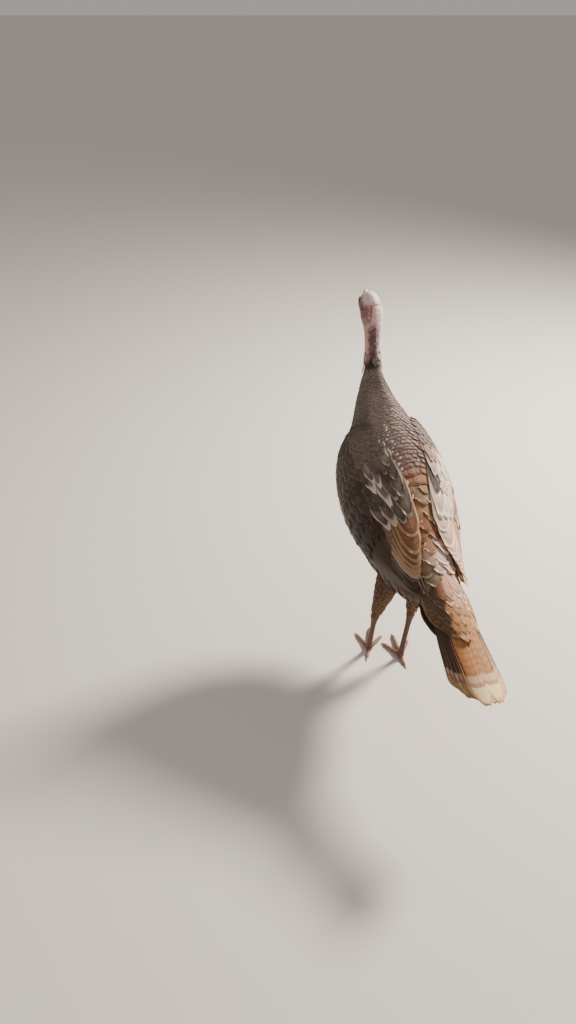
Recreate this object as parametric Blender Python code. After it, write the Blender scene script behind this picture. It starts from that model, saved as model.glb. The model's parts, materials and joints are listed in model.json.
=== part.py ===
"""Domestic turkey hen, life size, walking with her neck up and her tail closed.

Metres, +Z up. The hen faces -Y, so +X is her left side. Places are written as
(forward, left, height), measured from the floor midway between her two feet, and
`place` turns them into the part's axes. At the end an empty carries the whole bird
so that the origin is at the bottom centre of her bounding box.
"""

import math
from typing import NamedTuple

import bmesh
import bpy
import numpy as np
from mathutils import Matrix, Vector

GAP = 0.0003  # clearance where two pieces meet
RING = 24  # points round the trunk and the neck
HEAD_RING = 20
BELLY_FULLNESS = 0.10  # how much wider a section is below its middle than above

SHANK_RADIUS = 0.0062
TOE_RADIUS = 0.0052
TOE_FLATNESS = 0.92  # a toe's height over its width
TOE_PADS, PAD_SWELLING = 3, 0.08  # under a toe's joints, and how much they swell its girth
SOLE_DEPTH = 0.0006  # how much of each pad the floor flattens
CLAW_LENGTH = 0.013
CLAW_CLEARANCE = 0.0010  # from a claw's point to the floor
EYE_RADIUS = 0.0056
TAIL_LENGTH = 0.212
TAIL_TIPS = 13  # feather tips that show across the closed tail
WING_THICKNESS = 0.013
WING_EDGE = 0.0022  # thickness of the folded wing at its edges


class Section(NamedTuple):
    """One cross-section of the body, from its back point to its belly point.

    The left value is how far the section's middle is to the hen's left. The trunk
    hangs over her right foot, which carries her, and the neck curves back to the
    middle.
    """

    back_forward: float
    back_height: float
    belly_forward: float
    belly_height: float
    half_width: float
    left: float


# From the tail's root, over the trunk and up the neck, to the root of the bill.
BODY = [
    Section(-0.190, 0.320, -0.176, 0.266, 0.038, -0.014),  # tail root
    Section(-0.142, 0.352, -0.118, 0.238, 0.052, -0.014),  # rump
    Section(-0.091, 0.386, -0.062, 0.221, 0.070, -0.016),
    Section(-0.041, 0.426, -0.002, 0.214, 0.086, -0.020),  # hips
    Section(0.008, 0.464, 0.060, 0.221, 0.095, -0.022),
    Section(0.048, 0.494, 0.119, 0.252, 0.096, -0.019),  # shoulders
    Section(0.081, 0.519, 0.164, 0.302, 0.087, -0.013),
    Section(0.106, 0.540, 0.192, 0.364, 0.068, -0.009),  # breast
    Section(0.124, 0.559, 0.201, 0.428, 0.047, -0.005),  # crop
    Section(0.137, 0.577, 0.197, 0.492, 0.0345, 0.000),
    Section(0.146, 0.594, 0.189, 0.548, 0.0240, 0.004),
    Section(0.153, 0.614, 0.185, 0.590, 0.0170, 0.005),  # where the plumage ends
    Section(0.159, 0.638, 0.185, 0.626, 0.0152, 0.005),
    Section(0.163, 0.662, 0.188, 0.654, 0.0155, 0.005),
    Section(0.1645, 0.6820, 0.1945, 0.6730, 0.0174, 0.005),  # nape and throat
    Section(0.1680, 0.7020, 0.2020, 0.6855, 0.0192, 0.005),
    Section(0.1760, 0.7200, 0.2085, 0.6905, 0.0200, 0.005),
    Section(0.1890, 0.7320, 0.2140, 0.6920, 0.0196, 0.005),  # crown and jaw
    Section(0.2030, 0.7345, 0.2190, 0.6930, 0.0181, 0.005),  # eyes
    Section(0.2160, 0.7290, 0.2240, 0.6950, 0.0152, 0.005),
    Section(0.2260, 0.7185, 0.2280, 0.6985, 0.0108, 0.005),  # bill root
]
TRUNK_TOP, PLUMAGE_TOP, NECK_TOP = 8.0, 11.0, 14.0  # stations of the body

HEAD_LEFT = BODY[-1].left
EYE = (0.2065, 0.0147, 0.7165)  # forward, left of the head's middle, height
BILL_ROOT, BILL_TIP = 0.2215, 0.2560
# The dewlap's fold, from under the bill to the throat.
DEWLAP_FORWARD = (0.2160, 0.1885)
DEWLAP_ROOT_HEIGHT = (0.6985, 0.6500)
DEWLAP_SLANT = (0.75, 0.0, -0.66)  # the way the fold hangs: forward, left, height


def place(forward, left, height):
    """A point of the hen in the part's axes."""
    return Vector((left, -forward, height))


def spline(rows, t):
    """Catmull-Rom through rows of numbers, with t from 0 to len(rows) - 1."""
    points = np.asarray(rows, float)
    last = len(points) - 1
    index = int(min(max(math.floor(t), 0), last - 1))
    share = t - index
    here, there = points[index], points[index + 1]
    before = points[index - 1] if index > 0 else 2 * here - there
    after = points[index + 2] if index + 2 <= last else 2 * there - here
    return 0.5 * (
        2 * here
        + (there - before) * share
        + (2 * before - 5 * here + 4 * there - after) * share**2
        + (3 * here - before - 3 * there + after) * share**3
    )


def body_point(section, angle, lift=0.0):
    """A point of a section. Angle 0 is the back, a quarter turn the left side."""
    section = Section(*section)
    middle = np.array([
        (section.back_forward + section.belly_forward) / 2,
        (section.back_height + section.belly_height) / 2,
    ])
    rise = np.array([
        (section.back_forward - section.belly_forward) / 2,
        (section.back_height - section.belly_height) / 2,
    ])
    rise *= 1 + lift / np.linalg.norm(rise)
    width = (section.half_width + lift) * (1 - BELLY_FULLNESS * math.cos(angle))
    forward, height = middle + rise * math.cos(angle)
    return place(forward, section.left + width * math.sin(angle), height)


def turned(count):
    """Evenly spaced angles for one full turn."""
    return [2 * math.pi * i / count for i in range(count)]


def stops(start, end, count):
    """Evenly spaced numbers from start to end, both included."""
    return [start + (end - start) * i / (count - 1) for i in range(count)]


def between(start, end, share):
    """A number or a point on the way from start to end."""
    return start + (end - start) * share


# ---- Mesh helpers ------------------------------------------------------------------


def clear_scene():
    """Removes the startup objects."""
    for leftover in list(bpy.data.objects):
        bpy.data.objects.remove(leftover, do_unlink=True)


def collection(name):
    """A new collection linked to the scene."""
    made = bpy.data.collections.new(name)
    bpy.context.scene.collection.children.link(made)
    return made


def finish_material(name, colour, roughness):
    """A Principled material of one colour."""
    material = bpy.data.materials.new(name)
    material.use_nodes = True
    shader = material.node_tree.nodes["Principled BSDF"]
    shader.inputs["Base Color"].default_value = (*colour, 1.0)
    shader.inputs["Roughness"].default_value = roughness
    shader.inputs["Metallic"].default_value = 0.0
    return material


def solid(name, mesh_data, material, where, smooth_angle=40):
    """An object of this bmesh, smooth except over sharp edges."""
    bmesh.ops.recalc_face_normals(mesh_data, faces=mesh_data.faces)
    mesh = bpy.data.meshes.new(name)
    mesh_data.to_mesh(mesh)
    mesh_data.free()
    mesh.materials.append(material)
    mesh.shade_smooth()
    mesh.set_sharp_from_angle(angle=math.radians(smooth_angle))
    made = bpy.data.objects.new(name, mesh)
    where.objects.link(made)
    return made


def loft(rings):
    """A closed bmesh through rings of equally many points, capped at both ends."""
    made = bmesh.new()
    rows = [[made.verts.new(point) for point in ring] for ring in rings]
    for lower, upper in zip(rows, rows[1:]):
        for i, corner in enumerate(lower):
            following = (i + 1) % len(lower)
            made.faces.new((corner, lower[following], upper[following], upper[i]))
    made.faces.new(rows[0])
    made.faces.new(rows[-1])
    return made


def slab(upper_grid, lower_grid):
    """A closed bmesh between two grids of points that have the same rows and columns."""
    made = bmesh.new()
    tops = [[made.verts.new(point) for point in row] for row in upper_grid]
    bottoms = [[made.verts.new(point) for point in row] for row in lower_grid]
    for grid in (tops, bottoms):
        for near, far in zip(grid, grid[1:]):
            for i in range(len(near) - 1):
                made.faces.new((near[i], near[i + 1], far[i + 1], far[i]))

    def border(grid):
        right = [row[-1] for row in grid[1:]]
        back = grid[-1][-2::-1]
        left = [row[0] for row in grid[-2:0:-1]]
        return grid[0] + right + back + left

    above, below = border(tops), border(bottoms)
    for i, corner in enumerate(above):
        following = (i + 1) % len(above)
        made.faces.new((corner, above[following], below[following], below[i]))
    return made


def tube(path, radii, sides, flatten=1.0):
    """A closed bmesh of rings across a path of points. Flatten squashes its height."""
    start = path[1] - path[0]
    upward = Vector((0, 0, 1)) if abs(start.z) < 0.7 * start.length else Vector((0, 1, 0))
    rings = []
    for i, centre in enumerate(path):
        ahead = (path[min(i + 1, len(path) - 1)] - path[max(i - 1, 0)]).normalized()
        # Each ring turns as little as it can from the last, so the tube doesn't twist.
        upward = (upward - ahead * upward.dot(ahead)).normalized()
        across = ahead.cross(upward)
        rings.append([
            centre + (across * math.cos(a) + upward * flatten * math.sin(a)) * radii[i]
            for a in turned(sides)
        ])
    return loft(rings)


def add_boolean(target, other, operation):
    """Cuts target by other, or joins them, with the exact solver."""
    step = target.modifiers.new(f"{operation.lower()}_{other.name}", "BOOLEAN")
    step.operation = operation
    step.solver = "EXACT"
    step.object = other


def carve(target, shape, helpers, clearance=GAP):
    """Cuts target by a copy of shape that is thicker by the clearance."""
    cutter = as_helper(bpy.data.objects.new(f"{shape.name}_cuts_{target.name}", shape.data))
    helpers.objects.link(cutter)
    swell = cutter.modifiers.new("clearance", "DISPLACE")
    swell.strength = clearance
    swell.mid_level = 0.0
    add_boolean(target, cutter, "DIFFERENCE")


def as_helper(made):
    """Hides a shape that is only a cutter or is joined into another."""
    made.hide_render = True
    made.display_type = "WIRE"
    return made


# ---- Trunk, neck and head ----------------------------------------------------------


def body_length(name, start, end, rows, sides, material, where):
    """A length of the body between two of its stations."""
    rings = [
        [body_point(spline(BODY, t), angle) for angle in turned(sides)]
        for t in stops(start, end, rows)
    ]
    middle = sum(rings[0], Vector()) / sides
    ahead = (sum(rings[1], Vector()) / sides - middle).normalized()
    rings[0] = [point + ahead * GAP for point in rings[0]]
    return solid(name, loft(rings), material, where)


def bill_half(name, profile, material, where):
    """One half of the bill: rows of (share of its length, top, bottom, half width)."""
    rings = []
    for share, top, bottom, half_width in profile:
        forward = between(BILL_ROOT, BILL_TIP, share)
        middle, half_height = (top + bottom) / 2, (top - bottom) / 2
        rings.append([
            place(
                forward,
                HEAD_LEFT + half_width * math.sin(a),
                middle + half_height * math.cos(a),
            )
            for a in turned(12)
        ])
    return solid(name, loft(rings), material, where)


def build_bill(material, where):
    """The hooked upper half and the shorter lower half, shut on each other."""
    upper = bill_half(
        "bill_upper",
        [
            (0.00, 0.7180, 0.7060, 0.0082),
            (0.25, 0.7172, 0.7056, 0.0076),
            (0.50, 0.7147, 0.7046, 0.0063),
            (0.75, 0.7100, 0.7018, 0.0043),
            (0.92, 0.7040, 0.6975, 0.0024),
            (1.00, 0.6988, 0.6952, 0.0010),
        ],
        material,
        where,
    )
    lower = bill_half(
        "bill_lower",
        [
            (0.00, 0.7056, 0.6978, 0.0074),
            (0.25, 0.7051, 0.6976, 0.0068),
            (0.50, 0.7039, 0.6974, 0.0054),
            (0.72, 0.7014, 0.6970, 0.0034),
            (0.84, 0.6988, 0.6966, 0.0015),
        ],
        material,
        where,
    )
    return upper, lower


def build_eye(name, side, material, where):
    """An eyeball, set so that a third of it shows."""
    made = bmesh.new()
    bmesh.ops.create_uvsphere(made, u_segments=12, v_segments=8, radius=EYE_RADIUS)
    bmesh.ops.rotate(made, matrix=Matrix.Rotation(math.pi / 2, 3, "Y"), verts=made.verts)
    centre = place(EYE[0], HEAD_LEFT + EYE[1] * side, EYE[2])
    bmesh.ops.translate(made, vec=centre, verts=made.verts)
    return solid(name, made, material, where)


def build_snood(material, where):
    """The small fleshy nub over the root of the bill that a hen has."""
    path = [
        place(0.2170, HEAD_LEFT, 0.7225),
        place(0.2215, HEAD_LEFT, 0.7262),
        place(0.2262, HEAD_LEFT, 0.7268),
        place(0.2300, HEAD_LEFT, 0.7245),
        place(0.2325, HEAD_LEFT, 0.7210),
    ]
    radii = [0.0050, 0.0046, 0.0040, 0.0030, 0.0014]
    return solid("snood", tube(path, radii, 10), material, where)


def build_dewlap(material, where):
    """The thin fold of skin that hangs under the jaw and down the throat."""
    rings = []
    for share in stops(0.0, 1.0, 8):
        fullness = math.sin(math.pi * share)
        reach = between(0.0042, 0.0020, share) + 0.0082 * fullness**0.8
        thickness = 0.0016 + 0.0012 * fullness
        middle = place(
            between(*DEWLAP_FORWARD, share), HEAD_LEFT, between(*DEWLAP_ROOT_HEIGHT, share)
        )
        rings.append([
            middle + place(*DEWLAP_SLANT) * reach * math.cos(a) + Vector((thickness * math.sin(a), 0, 0))
            for a in turned(10)
        ])
    return solid("dewlap", loft(rings), material, where)


# ---- Wings -------------------------------------------------------------------------

# The folded wing's upper and lower edge, as degrees round the body from the back, at
# these stations of the body from the shoulder to the tip.
WING_EDGES = [
    # station, upper edge, lower edge
    (7.10, 66, 86),
    (6.80, 50, 102),
    (6.20, 38, 116),
    (5.10, 30, 122),
    (4.00, 24, 117),
    (3.00, 20, 107),
    (2.10, 18, 96),
    (1.30, 20, 86),
    (0.60, 26, 76),
    (0.14, 38, 62),
]
WING_LIFT = 0.0017  # between the trunk and the wing's inner face
SEAM = 0.0020  # of the wing's length or width, a little over the clearance
STAND_OFF, STAND_OFF_STATION = 0.0040, 3.0  # how far the wing leaves the body, and from where
PRIMARY_SEAM, PRIMARY_SEAM_GROWTH = 0.010, 0.05  # it opens behind this share of the length:
PRIMARY_SEAM_OPENS = 0.8
TIP_NOTCH = 0.026  # between feather tips, as a share of the wing's length
TIP_LEDGE = 0.0008  # how far each feather's edge stands over the next


def wing_guide(station, degrees, side, lift):
    """A point beside the trunk. Behind the hips the folded wing stands off from it."""
    row = spline(BODY, station)
    middle = row[5]
    row[4] += STAND_OFF * max(0.0, STAND_OFF_STATION - station)
    point = body_point(row, math.radians(degrees), lift)
    return Vector((middle + (point.x - middle) * side, point.y, point.z))


def wing_point(share, across, side, lift):
    """A point of the wing: share along it from the shoulder, across from its upper edge."""
    station, upper, lower = spline(WING_EDGES, share * (len(WING_EDGES) - 1))
    return wing_guide(station, between(upper, lower, across), side, lift)


def wing_depth(share, across):
    """The folded wing is thickest over the forearm and thins out to its edges and tip."""
    domed = max(0.0, math.sin(math.pi * across)) ** 0.6
    front = min(1.0, share / 0.16) ** 0.6
    back = 1.0 - 0.72 * max(0.0, share - 0.25)
    return between(WING_EDGE, WING_THICKNESS, domed * front * back)


def covert_edge(across):
    """Where the coverts end, as a share of the wing's length: further back lower down."""
    return 0.47 + 0.12 * math.sin(math.pi * min(across * 0.8 + 0.1, 1.0))


def secondary_edge(share):
    """Where the secondaries end and the primaries show below them, across the wing."""
    return 0.66 - 0.10 * max(0.0, share - 0.5)


def feather_tips(step, count):
    """How far back and how proud each point of a row of overlapping feathers is."""
    phase = (step * count) % 1.0 if step < 1.0 else 1.0
    return abs(2 * phase - 1) ** 2, 1 - phase


def wing_slab(name, side, grid, start, end, near, far, tips, material, where):
    """One slab of the folded wing.

    Start and end are functions of the place across the wing, near and far of the
    share along it. Tips is how many rounded feather tips its far end has, and each
    feather's edge stands over the next one.
    """
    outer, inner = [], []
    for along in stops(0.0, 1.0, grid[0]):
        top, bottom = [], []
        for step in stops(0.0, 1.0, grid[1]):
            back, proud = feather_tips(step, tips) if tips else (0.0, 0.0)
            guess = between(near(0.5), far(0.5), step)
            share = between(start(guess), end(guess), along) - TIP_NOTCH * back * along
            across = between(near(share), far(share), step)
            depth = wing_depth(share, across) + TIP_LEDGE * proud
            top.append(wing_point(share, across, side, WING_LIFT + depth))
            bottom.append(wing_point(share, across, side, WING_LIFT))
        outer.append(top)
        inner.append(bottom)
    return solid(name, slab(outer, inner), material, where)


def build_wing(word, side, materials, where):
    """A folded wing: the shield of coverts, the secondaries and the primaries."""

    def fixed(value):
        return lambda _: value

    def behind_coverts(across):
        return covert_edge(across) + SEAM

    def below_secondaries(share):
        opening = PRIMARY_SEAM_GROWTH * max(0.0, share - PRIMARY_SEAM_OPENS)
        return secondary_edge(share) + PRIMARY_SEAM + opening

    wing_slab(
        f"wing_{word}_coverts", side, (9, 12), fixed(0.0), covert_edge,
        fixed(0.0), fixed(1.0), 0, materials["coverts"], where,
    )
    wing_slab(
        f"wing_{word}_secondaries", side, (6, 16), behind_coverts, fixed(0.95),
        fixed(0.0), secondary_edge, 5, materials["flight"], where,
    )
    wing_slab(
        f"wing_{word}_primaries", side, (7, 10), behind_coverts, fixed(1.0),
        below_secondaries, fixed(1.0), 3, materials["flight"], where,
    )


# ---- Tail --------------------------------------------------------------------------

TAIL_ROOT = (-0.1895, 0.3000)  # forward and height of the tail's root, on its underside
TAIL_LEFT = (-0.015, -0.006)  # how far its root and its end are to the hen's left
TAIL_DROP = math.radians(17)  # how far the tail slopes below the level
TAIL_ARCH = (0.026, 0.036)  # how far its sides hang, at its root and at its end
TAIL_THICKNESS = 0.0052
TAIL_THINNING = 0.0022  # lost on the way to the tips
TAIL_ROUNDING = 0.27  # how much shorter its outermost feathers are
TAIL_NOTCH = 0.035  # between feather tips
TAIL_LEDGES = (0.0004, 0.0016)  # at a notch and at a tip, over the blade


def tail_half_width(share):
    """The closed tail widens towards its end."""
    return 0.043 + 0.010 * share**0.8


def tail_point(share, across, lift):
    """A point of the tail's arched blade. Across runs from -1, right, to 1, left."""
    reach = TAIL_LENGTH * share
    arch = lift - between(*TAIL_ARCH, share) * (abs(across) ** 2.3 - 0.35)
    forward = TAIL_ROOT[0] - reach * math.cos(TAIL_DROP) - arch * math.sin(TAIL_DROP)
    height = TAIL_ROOT[1] - reach * math.sin(TAIL_DROP) + arch * math.cos(TAIL_DROP)
    return place(forward, between(*TAIL_LEFT, share) + across * tail_half_width(share), height)


def build_tail(material, where):
    """The closed tail: feathers that lie over each other from the middle pair outwards."""
    columns = 2 * TAIL_TIPS + 1
    tops, bottoms = [], []
    for along in stops(0.0, 1.0, 6):
        top, bottom = [], []
        for i in range(columns):
            across = 2 * i / (columns - 1) - 1
            at_tip = i % 2
            rounding = TAIL_ROUNDING * abs(across) ** 2.6
            share = along * (1 - rounding - (0.0 if at_tip else TAIL_NOTCH))
            thickness = TAIL_THICKNESS - TAIL_THINNING * along
            top.append(tail_point(share, across, thickness + TAIL_LEDGES[at_tip]))
            bottom.append(tail_point(share, across, 0.0))
        tops.append(top)
        bottoms.append(bottom)
    return solid("tail", slab(tops, bottoms), material, where)


COVERT_CLEARANCE = 0.0022  # over the ledges of the tail's feathers


def tail_coverts(name, reach, swell, above, material, where):
    """The pad of short feathers over or under the tail's root."""
    near, far = [], []
    gap = 2 * GAP  # the pad and the arched tail have unlike facets
    for along in stops(0.0, 1.0, 8):
        near_row, far_row = [], []
        for across in stops(-1.0, 1.0, 9):
            inset = across * (0.98 - 0.34 * along**2)
            share = reach * along * (1 - 0.22 * across**2)
            rounded = math.sqrt(1 - 0.94 * across**2)
            bulk = 0.0009 + swell * rounded * math.cos(along * math.pi / 2) ** 0.8
            surface = TAIL_THICKNESS + COVERT_CLEARANCE if above else 0.0
            away = 1 if above else -1
            near_row.append(tail_point(share, inset, surface + away * gap))
            far_row.append(tail_point(share, inset, surface + away * (gap + bulk)))
        near.append(near_row)
        far.append(far_row)
    return solid(name, slab(far, near), material, where)


# ---- Legs --------------------------------------------------------------------------


class Leg(NamedTuple):
    """One leg's joints, each (forward, left, height)."""

    word: str
    side: int
    knee: tuple
    hock: tuple
    foot: tuple
    toe_out: float  # how far the foot turns outward, in degrees


LEGS = [
    Leg("left", 1, (0.014, -0.006, 0.232), (0.010, 0.030, 0.113), (0.028, 0.031, 0.010), -22),
    Leg("right", -1, (0.008, -0.062, 0.240), (-0.008, -0.042, 0.118), (-0.012, -0.026, 0.010), 8),
]
# Where the drumstick's plumage starts, inside the trunk, and where it stops, as shares
# of the way from knee to hock.
DRUMSTICK_START, DRUMSTICK_END = -0.35, 0.90
DRUMSTICK_RADII = (0.0105, 0.0275)  # at the hock and where it is fullest
DRUMSTICK_FULLEST = 0.05


class Toe(NamedTuple):
    """A toe: its direction in degrees from straight ahead, its length and its girth."""

    word: str
    heading: float
    length: float
    girth: float


TOES = [
    Toe("inner", -31, 0.046, 0.94),
    Toe("middle", 0, 0.062, 1.0),
    Toe("outer", 32, 0.048, 0.92),
    Toe("hind", 174, 0.025, 0.80),
]


def build_thigh(leg, trunk, material, where, helpers):
    """The feathered drumstick, cut where the trunk covers it."""
    knee, hock = place(*leg.knee), place(*leg.hock)
    shares = stops(DRUMSTICK_START, DRUMSTICK_END, 9)
    fullness = [math.cos(0.43 * math.pi * (share - DRUMSTICK_FULLEST)) ** 2 for share in shares]
    radii = [between(*DRUMSTICK_RADII, full) for full in fullness]
    path = [between(knee, hock, share) for share in shares]
    made = solid(f"thigh_{leg.word}", tube(path, radii, 16), material, where)
    carve(made, trunk, helpers)


def build_shank(leg, material, where):
    """The scaled shank, with the knob of the hock at its top. Gives its lower end."""
    knee, hock, foot = place(*leg.knee), place(*leg.hock), place(*leg.foot)
    start = between(knee, hock, DRUMSTICK_END) + (hock - knee).normalized() * GAP
    path = [start, between(start, hock, 0.6), between(hock, foot, 0.03)]
    radii = [0.0082, 0.0092, 0.0095]
    for share in stops(0.14, 0.88, 6):
        path.append(between(hock, foot, share))
        waist = 1.0 - 0.12 * math.sin(math.pi * share)
        radii.append(SHANK_RADIUS * waist + 0.0024 * math.exp(-((share / 0.16) ** 2)))
    solid(f"shank_{leg.word}", tube(path, radii, 14), material, where)
    return path[-1]


def toe_shape(leg, toe):
    """The toe's centre line, from inside the foot to the claw's root, and its radii."""
    foot = place(*leg.foot)
    angle = math.radians(toe.heading + leg.toe_out) * leg.side
    ahead = place(math.cos(angle), math.sin(angle), 0.0)
    path, radii = [], []
    for share in stops(0.0, 1.0, 7):
        girth = TOE_RADIUS * toe.girth * (1.08 - 0.26 * share)
        low = girth * TOE_FLATNESS - SOLE_DEPTH
        point = foot + ahead * toe.length * share
        point.z = between(low, leg.foot[2], (1 - share) ** 3)
        path.append(point)
        # The pads under the joints are swollen, and only they reach the floor.
        radii.append(girth * (1 + PAD_SWELLING * math.cos(2 * math.pi * TOE_PADS * share)))
    return path, radii


STEM_RADII = (SHANK_RADIUS * 0.97, 0.0068, 0.0082, 0.0062)  # from the shank to the sole


def build_foot(leg, shank_end, material, where, helpers, floor):
    """Four toes with swollen pads, joined at the ball of the foot."""
    foot = place(*leg.foot)
    top = shank_end + (foot - shank_end).normalized() * GAP
    sole = Vector((foot.x, foot.y, -SOLE_DEPTH))
    stem = [top, between(top, foot, 0.5), foot, sole]
    made = solid(f"foot_{leg.word}", tube(stem, STEM_RADII, 12), material, where)
    for toe in TOES:
        path, radii = toe_shape(leg, toe)
        mesh_data = tube(path, radii, 8, TOE_FLATNESS)
        shape = as_helper(solid(f"toe_{leg.word}_{toe.word}", mesh_data, material, helpers))
        add_boolean(made, shape, "UNION")
    add_boolean(made, floor, "DIFFERENCE")


def build_claws(leg, material, where):
    """A curved claw at the end of each toe, its point just off the floor."""
    for toe in TOES:
        path, radii = toe_shape(leg, toe)
        ahead = (path[-1] - path[-2]).normalized()
        root = path[-1] + ahead * GAP
        drop = root.z - CLAW_CLEARANCE
        curve, girths = [], []
        for share in stops(0.0, 1.0, 5):
            point = root + ahead * CLAW_LENGTH * share
            point.z = root.z - drop * share**2.5
            curve.append(point)
            girths.append(max(0.70 * radii[-1] * (1 - share) ** 0.8, 0.0004))
        solid(f"claw_{leg.word}_{toe.word}", tube(curve, girths, 6), material, where)


def build_floor_cutter(helpers):
    """A block under the floor that gives the toes their small flats."""
    made = bmesh.new()
    bmesh.ops.create_cube(made, size=1.0)
    bmesh.ops.translate(made, vec=(0, 0, -0.5), verts=made.verts)
    return as_helper(solid("floor", made, finish_material("floor", (0.5, 0.5, 0.5), 0.8), helpers))


# ---- The whole hen -----------------------------------------------------------------


def centre_on_floor(where):
    """Carries every piece by an empty that puts the bounding box over the origin."""
    graph = bpy.context.evaluated_depsgraph_get()
    low, high = Vector((9, 9, 9)), Vector((-9, -9, -9))
    for piece in where.objects:
        shown = piece.evaluated_get(graph)
        for corner in shown.bound_box:
            point = shown.matrix_world @ Vector(corner)
            low = Vector(map(min, low, point))
            high = Vector(map(max, high, point))
    carrier = bpy.data.objects.new("bird_origin", None)
    where.objects.link(carrier)
    carrier.location = (-(low.x + high.x) / 2, -(low.y + high.y) / 2, -low.z)
    return carrier


def main():
    """Builds the hen."""
    clear_scene()
    bird = collection("turkey_hen")
    helpers = collection("helpers")
    plumage = finish_material("grey_plumage", (0.23, 0.19, 0.16), 0.8)
    coverts = finish_material("wing_coverts", (0.20, 0.17, 0.15), 0.8)
    flight = finish_material("flight_feathers", (0.32, 0.22, 0.16), 0.7)
    tail_finish = finish_material("tail_feathers", (0.45, 0.32, 0.24), 0.7)
    bare_skin = finish_material("bare_skin", (0.66, 0.46, 0.45), 0.55)
    horn = finish_material("horn", (0.62, 0.53, 0.40), 0.4)
    scales = finish_material("leg_scales", (0.50, 0.34, 0.27), 0.5)
    eye_finish = finish_material("eye", (0.05, 0.03, 0.02), 0.08)

    trunk = body_length("trunk", 0.0, TRUNK_TOP, 21, RING, plumage, bird)
    body_length("neck_lower", TRUNK_TOP, PLUMAGE_TOP, 9, RING, plumage, bird)
    neck = body_length("neck_upper", PLUMAGE_TOP, NECK_TOP, 8, HEAD_RING, bare_skin, bird)
    head = body_length("head", NECK_TOP, len(BODY) - 1, 13, HEAD_RING, bare_skin, bird)
    for piece in build_bill(horn, bird):
        carve(piece, head, helpers)
    for word, side in (("left", 1), ("right", -1)):
        carve(head, build_eye(f"eye_{word}", side, eye_finish, bird), helpers)
    snood = build_snood(bare_skin, bird)
    carve(snood, head, helpers)
    dewlap = build_dewlap(bare_skin, bird)
    carve(dewlap, head, helpers)
    carve(dewlap, neck, helpers)

    build_tail(tail_finish, bird)
    tail_coverts("tail_coverts_upper", 0.42, 0.0115, True, flight, bird)
    tail_coverts("tail_coverts_under", 0.50, 0.0260, False, plumage, bird)

    floor = build_floor_cutter(helpers)
    for leg in LEGS:
        build_thigh(leg, trunk, plumage, bird, helpers)
        shank_end = build_shank(leg, scales, bird)
        build_foot(leg, shank_end, scales, bird, helpers, floor)
        build_claws(leg, horn, bird)

    for word, side in (("left", 1), ("right", -1)):
        build_wing(word, side, {"coverts": coverts, "flight": flight}, bird)

    carrier = centre_on_floor(bird)
    for piece in list(bird.objects) + list(helpers.objects):
        if piece is not carrier:
            piece.parent = carrier


main()
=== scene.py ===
"""Looks of a life-size domestic turkey hen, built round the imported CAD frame.

Skin, feathers, head, bill, eyes and feet are made as meshes in the row's own axes:
metres, +Z up, the hen faces -Y and +X is her left side.
"""

import json
import logging
import math
from dataclasses import dataclass, field
from enum import Enum
from typing import Callable, NamedTuple, Optional, Sequence

import bmesh
import bpy
import numpy as np
from mathutils import Matrix, Vector, noise
from mathutils.kdtree import KDTree

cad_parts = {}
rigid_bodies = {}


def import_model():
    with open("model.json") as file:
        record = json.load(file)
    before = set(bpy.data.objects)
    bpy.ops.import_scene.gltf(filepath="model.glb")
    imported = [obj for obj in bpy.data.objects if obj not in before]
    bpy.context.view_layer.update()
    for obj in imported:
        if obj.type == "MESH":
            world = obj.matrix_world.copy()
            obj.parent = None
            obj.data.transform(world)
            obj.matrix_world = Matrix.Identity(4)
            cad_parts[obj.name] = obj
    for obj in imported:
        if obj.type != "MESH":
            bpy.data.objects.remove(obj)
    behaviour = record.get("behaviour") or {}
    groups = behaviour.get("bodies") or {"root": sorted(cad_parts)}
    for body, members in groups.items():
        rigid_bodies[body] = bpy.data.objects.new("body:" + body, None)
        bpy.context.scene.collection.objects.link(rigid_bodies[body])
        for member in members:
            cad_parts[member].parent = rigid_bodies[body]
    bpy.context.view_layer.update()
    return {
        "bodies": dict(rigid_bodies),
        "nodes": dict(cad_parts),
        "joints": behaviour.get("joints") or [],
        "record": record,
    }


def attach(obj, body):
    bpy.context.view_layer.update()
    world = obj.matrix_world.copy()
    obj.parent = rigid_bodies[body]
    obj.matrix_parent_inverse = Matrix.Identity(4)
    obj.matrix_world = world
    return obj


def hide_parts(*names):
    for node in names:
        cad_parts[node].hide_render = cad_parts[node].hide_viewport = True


log = logging.getLogger("turkey_hen")

Array = np.ndarray
Chance = np.random.Generator
Material = bpy.types.Material
Pair = tuple[float, float]
Triple = tuple[float, float, float]

ORIGIN = np.array([0.0198, -0.0706, 0.0])  # from the middle of her feet to the row's axes
SEED = 20260
COAT_DEPTH = 0.0034  # from the CAD surface down to the skin under the feathers
FULL_TURN = 2 * math.pi


# ---- Sizes of her body ----


class Section(NamedTuple):
    """One cross-section of her body, from its back point to its belly point."""

    back_forward: float
    back_height: float
    belly_forward: float
    belly_height: float
    half_width: float
    left: float


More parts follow.
